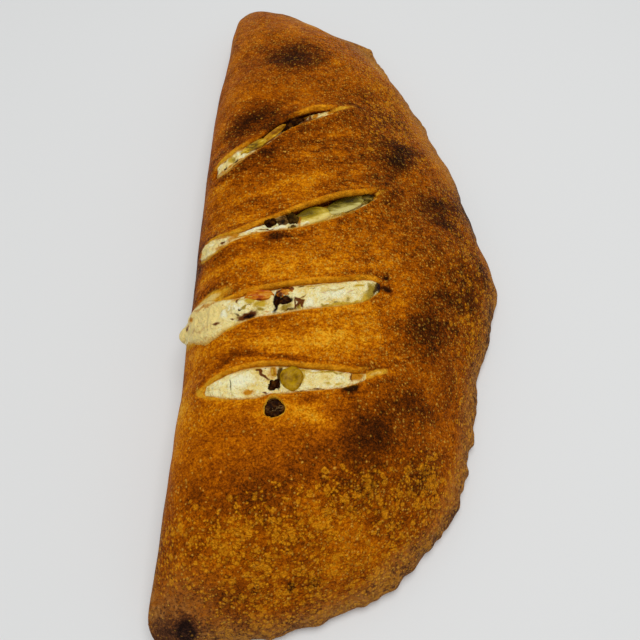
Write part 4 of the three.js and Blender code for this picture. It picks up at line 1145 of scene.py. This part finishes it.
class Graph:
    """A material's nodes, sizes in millimetres. Methods return values, or sockets of colours and places."""

    def __init__(self, name):
        self.material = bpy.data.materials.new(name)
        self.material.use_nodes = True
        self.nodes = self.material.node_tree.nodes
        self.links = self.material.node_tree.links
        self.shader = self.nodes["Principled BSDF"]
        self.place = self.nodes.new("ShaderNodeTexCoord").outputs["Object"]

    def feed(self, socket, value):
        value = getattr(value, "socket", value)
        if isinstance(value, bpy.types.NodeSocket):
            self.links.new(value, socket)
        elif isinstance(value, (tuple, list)) and socket.type == "RGBA":
            socket.default_value = (*value[:3], 1)
        else:
            socket.default_value = value

    def set(self, **values):
        """Sets the shader's own inputs, such as Base_Color or Roughness."""
        for name, value in values.items():
            self.feed(self.shader.inputs[name.replace("_", " ")], value)

    def math(self, operation, a, b=0.0):
        node = self.nodes.new("ShaderNodeMath")
        node.operation = operation
        self.feed(node.inputs[0], a)
        self.feed(node.inputs[1], b)
        return Value(self, node.outputs[0])

    def span(self, value, low, high, to_low=0.0, to_high=1.0):
        """Maps low..high to to_low..to_high, smoothly and held at the ends."""
        node = self.nodes.new("ShaderNodeMapRange")
        node.interpolation_type = "SMOOTHSTEP"
        for socket, number in zip(node.inputs[:5], (value, low, high, to_low, to_high)):
            self.feed(socket, number)
        return Value(self, node.outputs[0])

    def mix(self, share, a, b, blend="MIX"):
        node = self.nodes.new("ShaderNodeMix")
        node.data_type = "RGBA"
        node.blend_type = blend
        self.feed(node.inputs[0], share)
        self.feed(node.inputs[6], a)
        self.feed(node.inputs[7], b)
        return node.outputs[2]

    def ramp(self, value, stops):
        node = self.nodes.new("ShaderNodeValToRGB")
        self.feed(node.inputs[0], value)
        elements = node.color_ramp.elements
        while len(elements) < len(stops):
            elements.new(0.5)
        for element, (position, colour) in zip(elements, stops):
            element.position = position
            element.color = (*colour, 1)
        return node.outputs[0]

    def noise(self, size, detail=3.0, roughness=0.55, distortion=0.0, place=None):
        node = self.nodes.new("ShaderNodeTexNoise")
        self.feed(node.inputs["Vector"], self.place if place is None else place)
        node.inputs["Scale"].default_value = 1000 / size
        node.inputs["Detail"].default_value = detail
        node.inputs["Roughness"].default_value = roughness
        node.inputs["Distortion"].default_value = distortion
        return Value(self, node.outputs["Fac"])

    def cells(self, size, place):
        """Distance to the nearest of scattered points, in units of size, and that point's own number."""
        node = self.nodes.new("ShaderNodeTexVoronoi")
        self.feed(node.inputs["Vector"], place)
        node.inputs["Scale"].default_value = 1000 / size
        split = self.nodes.new("ShaderNodeSeparateColor")
        self.feed(split.inputs[0], node.outputs["Color"])
        return Value(self, node.outputs["Distance"]), Value(self, split.outputs[0])

    def warped(self, size, millimetres):
        """Place pushed about by noise, so that what follows it has uneven edges."""
        node = self.nodes.new("ShaderNodeTexNoise")
        self.feed(node.inputs["Vector"], self.place)
        node.inputs["Scale"].default_value = 1000 / size
        push = self.nodes.new("ShaderNodeVectorMath")
        push.operation = "MULTIPLY_ADD"
        self.feed(push.inputs[0], node.outputs["Color"])
        push.inputs[1].default_value = (2 * millimetres * MM,) * 3
        self.feed(push.inputs[2], self.place)
        return push.outputs[0]

    def stretched(self, turn, along_share):
        """Place turned about z and shortened along x, so that features run along x."""
        node = self.nodes.new("ShaderNodeMapping")
        self.feed(node.inputs["Vector"], self.place)
        node.inputs["Rotation"].default_value = (0, 0, -turn)
        node.inputs["Scale"].default_value = (along_share, 1, 1)
        return node.outputs[0]

    def attribute(self, name):
        node = self.nodes.new("ShaderNodeAttribute")
        node.attribute_name = name
        return Value(self, node.outputs["Fac"])

    def bump(self, value, millimetres):
        node = self.nodes.new("ShaderNodeBump")
        node.inputs["Distance"].default_value = millimetres * MM
        self.feed(node.inputs["Height"], value)
        return node.outputs["Normal"]


def spots(g, size, share, density, place, soft=0.5, hollow=0.0):
    """Round spots: each scattered cell has one, of its own size up to share, where its number is low."""
    distance, number = g.cells(size, place)
    reach = distance / ((number * -0.7 + 1.25) * share)
    shape = g.span(reach, 1.0, soft)
    if hollow:
        shape = shape * g.span(reach, 0.15, 0.55, 1 - hollow, 1.0)
    return shape * (number < density)


# Colours from pale gold to burnt. The same ramp also paints the shade that the bake value carries.
BAKED = [
    (0.00, (0.88, 0.42, 0.020)), (0.18, (0.73, 0.245, 0.0020)), (0.36, (0.485, 0.122, 0.0006)),
    (0.54, (0.275, 0.058, 0.0004)), (0.74, (0.100, 0.0205, 0.0008)), (0.95, (0.024, 0.0065, 0.0014)),
]
DUSTY = [(0.35, (0.25, 0.085, 0.012)), (0.65, (0.54, 0.245, 0.056))]
DUSTY_BURNT = [(0.70, (0.115, 0.044, 0.018)), (0.98, (0.014, 0.007, 0.006))]
FINE_SPOTS = [(0.35, (0.50, 0.195, 0.010)), (0.65, (0.84, 0.44, 0.055))]
GOLD = [(0.34, (0.46, 0.138, 0.001)), (0.66, (0.84, 0.345, 0.009))]
DUSTY_GOLD = (0.52, 0.235, 0.035)
CUT_FACE = [(0.33, (0.40, 0.110, 0.0015)), (0.66, (0.92, 0.38, 0.012))]
AMBER = [(0.38, (0.58, 0.235, 0.006)), (0.58, (0.74, 0.37, 0.022))]
CREAMY = (0.86, 0.60, 0.17)
# size, share of the spots that show, and how sunken their middles look
BLISTERS = [(3.0, 0.50, 0.5), (2.1, 0.75, 0.3), (1.25, 0.95, 0)]


def crust_material():
    g = Graph("baked_dough")
    bake_and_shade, pale, cream, dull, specks, blobs, between = (g.attribute(name) for name in CRUST_VALUES)
    grain = g.noise(0.9, 3, 0.7)
    mottle = g.noise(3.2, 5, 0.68, 0.5)
    streaks = g.noise(1.3, 4, 0.65, 0.3, g.stretched(SLANT, 0.14))
    streaks = (streaks - 0.5) * between
    veins = g.span(abs(g.noise(2.4, 2, 0.5, 1.4) - 0.5), 0.035, 0.0)
    bake_and_shade = bake_and_shade + (mottle - 0.5) * 0.85 * (specks * 0.5 + 0.62)
    bake_and_shade = bake_and_shade + (grain - 0.5) * 0.95 + veins * 0.07 + streaks * 0.6
    # The bake value, with its painted shade, gives the colour through the ramp.
    colour = g.ramp(bake_and_shade, BAKED)

    # Dull, dusty dough at the pinched edge.
    dusty = g.ramp(g.noise(1.8, 3, 0.65), DUSTY)
    dusty = g.mix(g.span(bake_and_shade, 0.48, 0.72), dusty, g.ramp(bake_and_shade, DUSTY_BURNT))
    colour = g.mix(dull * 0.85, colour, dusty)

    # Fine pale blisters, most of them on the pinched side.
    uneven = g.warped(1.5, 0.28)
    crowded = specks * g.span(g.noise(3.6, 4, 0.7, 0.5), 0.38, 0.62, 0.25, 1.0)
    fine = spots(g, 1.1, 0.46, crowded * 1.15, uneven, 0.2)
    middle = spots(g, 1.9, 0.35, crowded * 0.95, uneven, 0.2)
    tint = g.ramp(g.noise(1.3, 2), FINE_SPOTS)
    lit = g.span(bake_and_shade, 0.52, 0.88, 1.0, 0.50)
    colour = g.mix(fine * 0.74 * lit, colour, tint)
    colour = g.mix(middle * 0.84 * lit, colour, tint)

    # Golden blisters of the near end and the pinched rim, which run together in clusters.
    amount = blobs * g.span(g.noise(9, 3, 0.6, 0.4), 0.38, 0.60, 0.30, 1.0)
    level = g.noise(2.4, 2, 0.5, 0.3) - (amount * -0.23 + 0.73)
    golden = g.span(level, -0.02, 0.10) * 0.72
    for size, density, hollow in BLISTERS:
        golden = g.math("MAXIMUM", golden, spots(g, size, 0.50, amount * density, uneven, 0.45, hollow))
    gold = g.mix(dull * 0.6, g.ramp(g.noise(0.8, 2), GOLD), DUSTY_GOLD)
    colour = g.mix(golden * 0.86 * lit, colour, gold)

    # The faces of the cuts, and the pale dough beside the cheese.
    faced = pale + (mottle - 0.5) * 1.3 * g.span(pale, 0.0, 0.3)
    face = g.ramp(g.noise(3.2, 4, 0.65, 0.6), CUT_FACE)
    colour = g.mix(g.span(faced, 0.10, 0.95, 0.0, 0.92), colour, face)
    whiter = cream + (mottle - 0.5) * 0.9
    colour = g.mix(g.span(whiter, 0.25, 0.80), colour, g.ramp(mottle, AMBER))
    colour = g.mix(g.span(whiter, 0.85, 1.40), colour, CREAMY)

    height = veins * -0.35 + grain * 0.55 + mottle * 1.1 + streaks * 1.3
    height = height + fine * 0.55 + middle * 0.6 + golden * 0.55
    g.set(
        Base_Color=colour, Roughness=g.span(grain, 0.3, 0.7, 0.42, 0.60), Normal=g.bump(height, 0.45),
        IOR=1.4, Specular_IOR_Level=0.02,
    )
    return g.material


CHEESE = [(0.30, (0.84, 0.60, 0.15)), (0.46, (0.92, 0.75, 0.29)), (0.62, (0.96, 0.86, 0.44))]
BUTTERY = (0.72, 0.46, 0.05)
WHITISH = (0.98, 0.93, 0.64)
BUBBLE = (0.42, 0.14, 0.008)
# Toasted gold towards the cheese's edges. At the very edge, under the lips, a brown that is browned cheese
# and painted shade.
EDGE_TOASTED, EDGE_BROWN_AND_SHADE = (0.60, 0.29, 0.012), (0.17, 0.042, 0.001)


def cheese_material():
    g = Graph("melted_cheese")
    soft = g.noise(4.2, 4, 0.6, 0.4)
    colour = g.ramp(soft, CHEESE)
    colour = g.mix(g.span(g.noise(3.0, 4, 0.65, 0.8), 0.52, 0.70, 0, 0.75), colour, BUTTERY)
    colour = g.mix(g.span(g.noise(2.0, 4, 0.65, 0.8), 0.54, 0.66, 0, 0.7), colour, WHITISH)
    ragged = g.noise(1.4, 4, 0.66, 0.4) - 0.5
    # The marks laid over the cheese, some of them painted shade and painted highlights.
    for name, shade in CHEESE_SHADES.items():
        mark = g.attribute(name)
        colour = g.mix(g.span(mark + ragged, 0.18, 0.95) * g.span(mark, 0.02, 0.3), colour, shade)
    bubbles = spots(g, 2.2, 0.17, 0.45, g.place)
    colour = g.mix(bubbles * g.attribute("toasted"), colour, BUBBLE)
    edge = g.attribute("edge") + ragged * 0.16
    # The toasted edge, then the brown very edge: browned cheese with painted shade where the lips overhang.
    colour = g.mix(g.span(edge, 0.66, 0.88, 0, 0.85), colour, EDGE_TOASTED)
    colour = g.mix(g.span(edge, 0.86, 0.97, 0, 0.8), colour, EDGE_BROWN_AND_SHADE)
    g.set(
        Base_Color=colour, Roughness=g.span(soft, 0.3, 0.7, 0.24, 0.42),
        Normal=g.bump(g.noise(1.1, 3, 0.6) + soft * 1.2, 1.2), Specular_IOR_Level=0.12,
        Subsurface_Weight=0.10, Subsurface_Radius=(0.8, 0.5, 0.2), Subsurface_Scale=MM,
    )
    return g.material


SCRATCH = (0.34, 0.20, 0.07)


def moist_material(
    name, shades, roughness, size, soft=0.12, specular=0.10, lean=0.0, scratches=0.0, grain_turn=None,
):
    """Cooked vegetable or meat: shades in soft marbling, painted shade on its far side and painted light on
    its near side as far as lean goes, and a moist gloss.
    """
    g = Graph(name)
    along_grain = None if grain_turn is None else g.stretched(math.radians(grain_turn), 0.35)
    # Painted shade and light: lean darkens the far side, under the lip, and lightens the near side. A
    # negative lean turns this round.
    marbling = g.noise(size, 4, 0.62, 0.5, along_grain) - g.attribute("across") * lean
    steps = np.linspace(0.34, 0.66, len(shades))
    colour = g.ramp(marbling, list(zip(steps.tolist(), shades)))
    lines = abs(g.noise(1.6, 2, 0.5, 0.6, g.stretched(math.radians(50), 0.2)) - 0.60)
    colour = g.mix(g.span(lines, 0.016, 0.0, 0.0, scratches), colour, SCRATCH)
    g.set(
        Base_Color=colour, Roughness=g.span(g.noise(1.4), 0.3, 0.7, roughness * 0.7, roughness * 1.4),
        Normal=g.bump(g.noise(0.9, 3), 0.25), Specular_IOR_Level=specular,
        Subsurface_Weight=soft, Subsurface_Radius=(0.9, 0.9, 0.4), Subsurface_Scale=MM,
    )
    return g.material


# Shades from dark to light, roughness, size of the marbling, and what isn't as usual.
BLACK_OLIVE = [(0.005, 0.0008, 0.0001), (0.016, 0.0035, 0.0002), (0.070, 0.022, 0.002)]
FINISHES = {
    "pepper_green": (
        [(0.14, 0.075, 0.002), (0.34, 0.185, 0.004), (0.56, 0.33, 0.008), (0.74, 0.52, 0.06)],
        0.28, 2.4, dict(grain_turn=38)),
    "pepper_pale": (
        [(0.13, 0.085, 0.003), (0.30, 0.20, 0.006), (0.52, 0.36, 0.03), (0.76, 0.60, 0.16)],
        0.24, 4.6, dict(soft=0.2, specular=0.12, lean=0.45, grain_turn=22)),
    "pepper_grey": (
        [(0.030, 0.020, 0.001), (0.12, 0.085, 0.005), (0.30, 0.235, 0.035), (0.58, 0.50, 0.16)],
        0.22, 4.2, dict(soft=0.2, specular=0.12, lean=0.42, grain_turn=26)),
    "pepper_dark": (
        [(0.015, 0.008, 0.001), (0.05, 0.030, 0.002), (0.10, 0.06, 0.004), (0.30, 0.21, 0.035)],
        0.26, 2.4, dict(specular=0.04, lean=0.2, grain_turn=30)),
    "pepper_yellow": (
        [(0.24, 0.085, 0.001), (0.48, 0.22, 0.004), (0.72, 0.43, 0.018)], 0.30, 2.8, dict(grain_turn=46)),
    "olive_black": (BLACK_OLIVE, 0.26, 2.0, dict(soft=0, specular=0.015)),
    "olive_skin": (BLACK_OLIVE, 0.36, 2.4, dict(soft=0, specular=0.02, scratches=0.5)),
    "olive_brown": (
        [(0.012, 0.005, 0.001), (0.07, 0.03, 0.005), (0.24, 0.13, 0.03), (0.52, 0.36, 0.11)],
        0.30, 2.4, dict(soft=0, specular=0.05, lean=-0.2)),
    "olive_edge": (
        [(0.010, 0.004, 0.001), (0.040, 0.018, 0.0015), (0.10, 0.050, 0.004)],
        0.26, 2.2, dict(soft=0, specular=0.02)),
    "olive_green": ([(0.22, 0.10, 0.001), (0.38, 0.19, 0.002), (0.54, 0.32, 0.010)], 0.22, 3.4, {}),
    "olive_disc": (
        [(0.16, 0.075, 0.001), (0.35, 0.185, 0.001), (0.47, 0.27, 0.003)],
        0.22, 3.0, dict(soft=0.04, specular=0.06)),
    "olive_orange": ([(0.16, 0.055, 0.002), (0.44, 0.20, 0.003), (0.60, 0.38, 0.03)], 0.28, 2.4, {}),
    "tomato": (
        [(0.16, 0.018, 0.001), (0.42, 0.075, 0.001), (0.60, 0.19, 0.003), (0.72, 0.42, 0.04)],
        0.26, 3.0, dict(lean=0.15, grain_turn=8)),
    "ham": (
        [(0.035, 0.008, 0.001), (0.19, 0.04, 0.002), (0.50, 0.16, 0.004), (0.70, 0.34, 0.03)],
        0.30, 2.4, {}),
}

# ---- the pieces ----


def dress(piece, finish, node=None):
    """Gives a piece its finish, and says what it rides on, which solid it replaces."""
    piece.data.materials.append(finish)
    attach(piece, "root")
    if node:
        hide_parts(node)


dress(build_crust(), crust_material(), "crust")

cheese_finish = cheese_material()
dress(build_cheese(), cheese_finish, "filling")

drop_vertices, drop_faces = drop()
drop_piece = new_mesh("cheese_drop", drop_vertices, drop_faces)
for name in ("edge", *CHEESE_SHADES):
    set_attribute(drop_piece, name, np.full(len(drop_vertices), float(name == "toasted")))
dress(drop_piece, cheese_finish)

finishes = {name: moist_material(name, *row[:3], **row[3]) for name, row in FINISHES.items()}
for number, (node, (form, finish, x, y, down, size, turns)) in enumerate(TOPPINGS.items()):
    shape = FORMS[form](size, 100 + 7 * number)
    piece = new_mesh("cooked_" + node, *placed(shape, x, y, down, turns))
    set_attribute(piece, "across", shape[0][:, 1] / size[1])
    dress(piece, finishes[finish], node)

# ---- floor, light and camera ----


FLOOR = 3.0  # metres, from the middle to each side
floor_mesh = bpy.data.meshes.new("floor")
floor_corners = [(x * FLOOR, y * FLOOR, 0) for x, y in ((-1, -1), (1, -1), (1, 1), (-1, 1))]
floor_mesh.from_pydata(floor_corners, [], [(0, 1, 2, 3)])
floor = bpy.data.objects.new("floor", floor_mesh)
bpy.context.scene.collection.objects.link(floor)
floor_finish = Graph("floor")
floor_finish.set(Base_Color=(0.78, 0.79, 0.79), Roughness=0.6, Specular_IOR_Level=0.2)
floor.data.materials.append(floor_finish.material)

LIGHT_PLACE = Vector((0.10, 0.0, 1.5))
LIGHT_SIZE = 1.1
LIGHT_WATTS = 14.6
light_data = bpy.data.lights.new("overhead", "AREA")
light_data.shape = "DISK"
light_data.size = LIGHT_SIZE
light_data.energy = LIGHT_WATTS
light = bpy.data.objects.new("overhead", light_data)
light.location = LIGHT_PLACE
light.rotation_mode = "QUATERNION"
light.rotation_quaternion = (-LIGHT_PLACE).to_track_quat("-Z", "Y")
bpy.context.scene.collection.objects.link(light)

SKY_STRENGTH = 0.36
world = bpy.data.worlds.new("studio")
bpy.context.scene.world = world
world.use_nodes = True
sky = world.node_tree.nodes["Background"]
sky.inputs["Color"].default_value = (1, 1, 1, 1)
sky.inputs["Strength"].default_value = SKY_STRENGTH
bpy.context.scene.view_settings.view_transform = "Standard"

CAMERA_PLACE = (-11, -186, 265.5)  # millimetres
CAMERA_DOWN = 60.45  # degrees below level
CAMERA_ROLL = -0.98  # degrees
NEAREST_SEEN = 0.01  # metres
FOCAL_SHARE = 1.0  # focal length as a share of the picture's width
camera_data = bpy.data.cameras.new("camera")
camera_data.lens = camera_data.sensor_width * FOCAL_SHARE
camera_data.clip_start = NEAREST_SEEN
camera = bpy.data.objects.new("camera", camera_data)
place = Vector(CAMERA_PLACE) - Vector((plan_centre[0], plan_centre[1], 0))
tilt = Matrix.Rotation(math.radians(90 - CAMERA_DOWN), 4, "X")
roll = Matrix.Rotation(math.radians(CAMERA_ROLL), 4, "Z")
camera.matrix_world = Matrix.Translation(place * MM) @ tilt @ roll
bpy.context.scene.collection.objects.link(camera)
bpy.context.scene.camera = camera
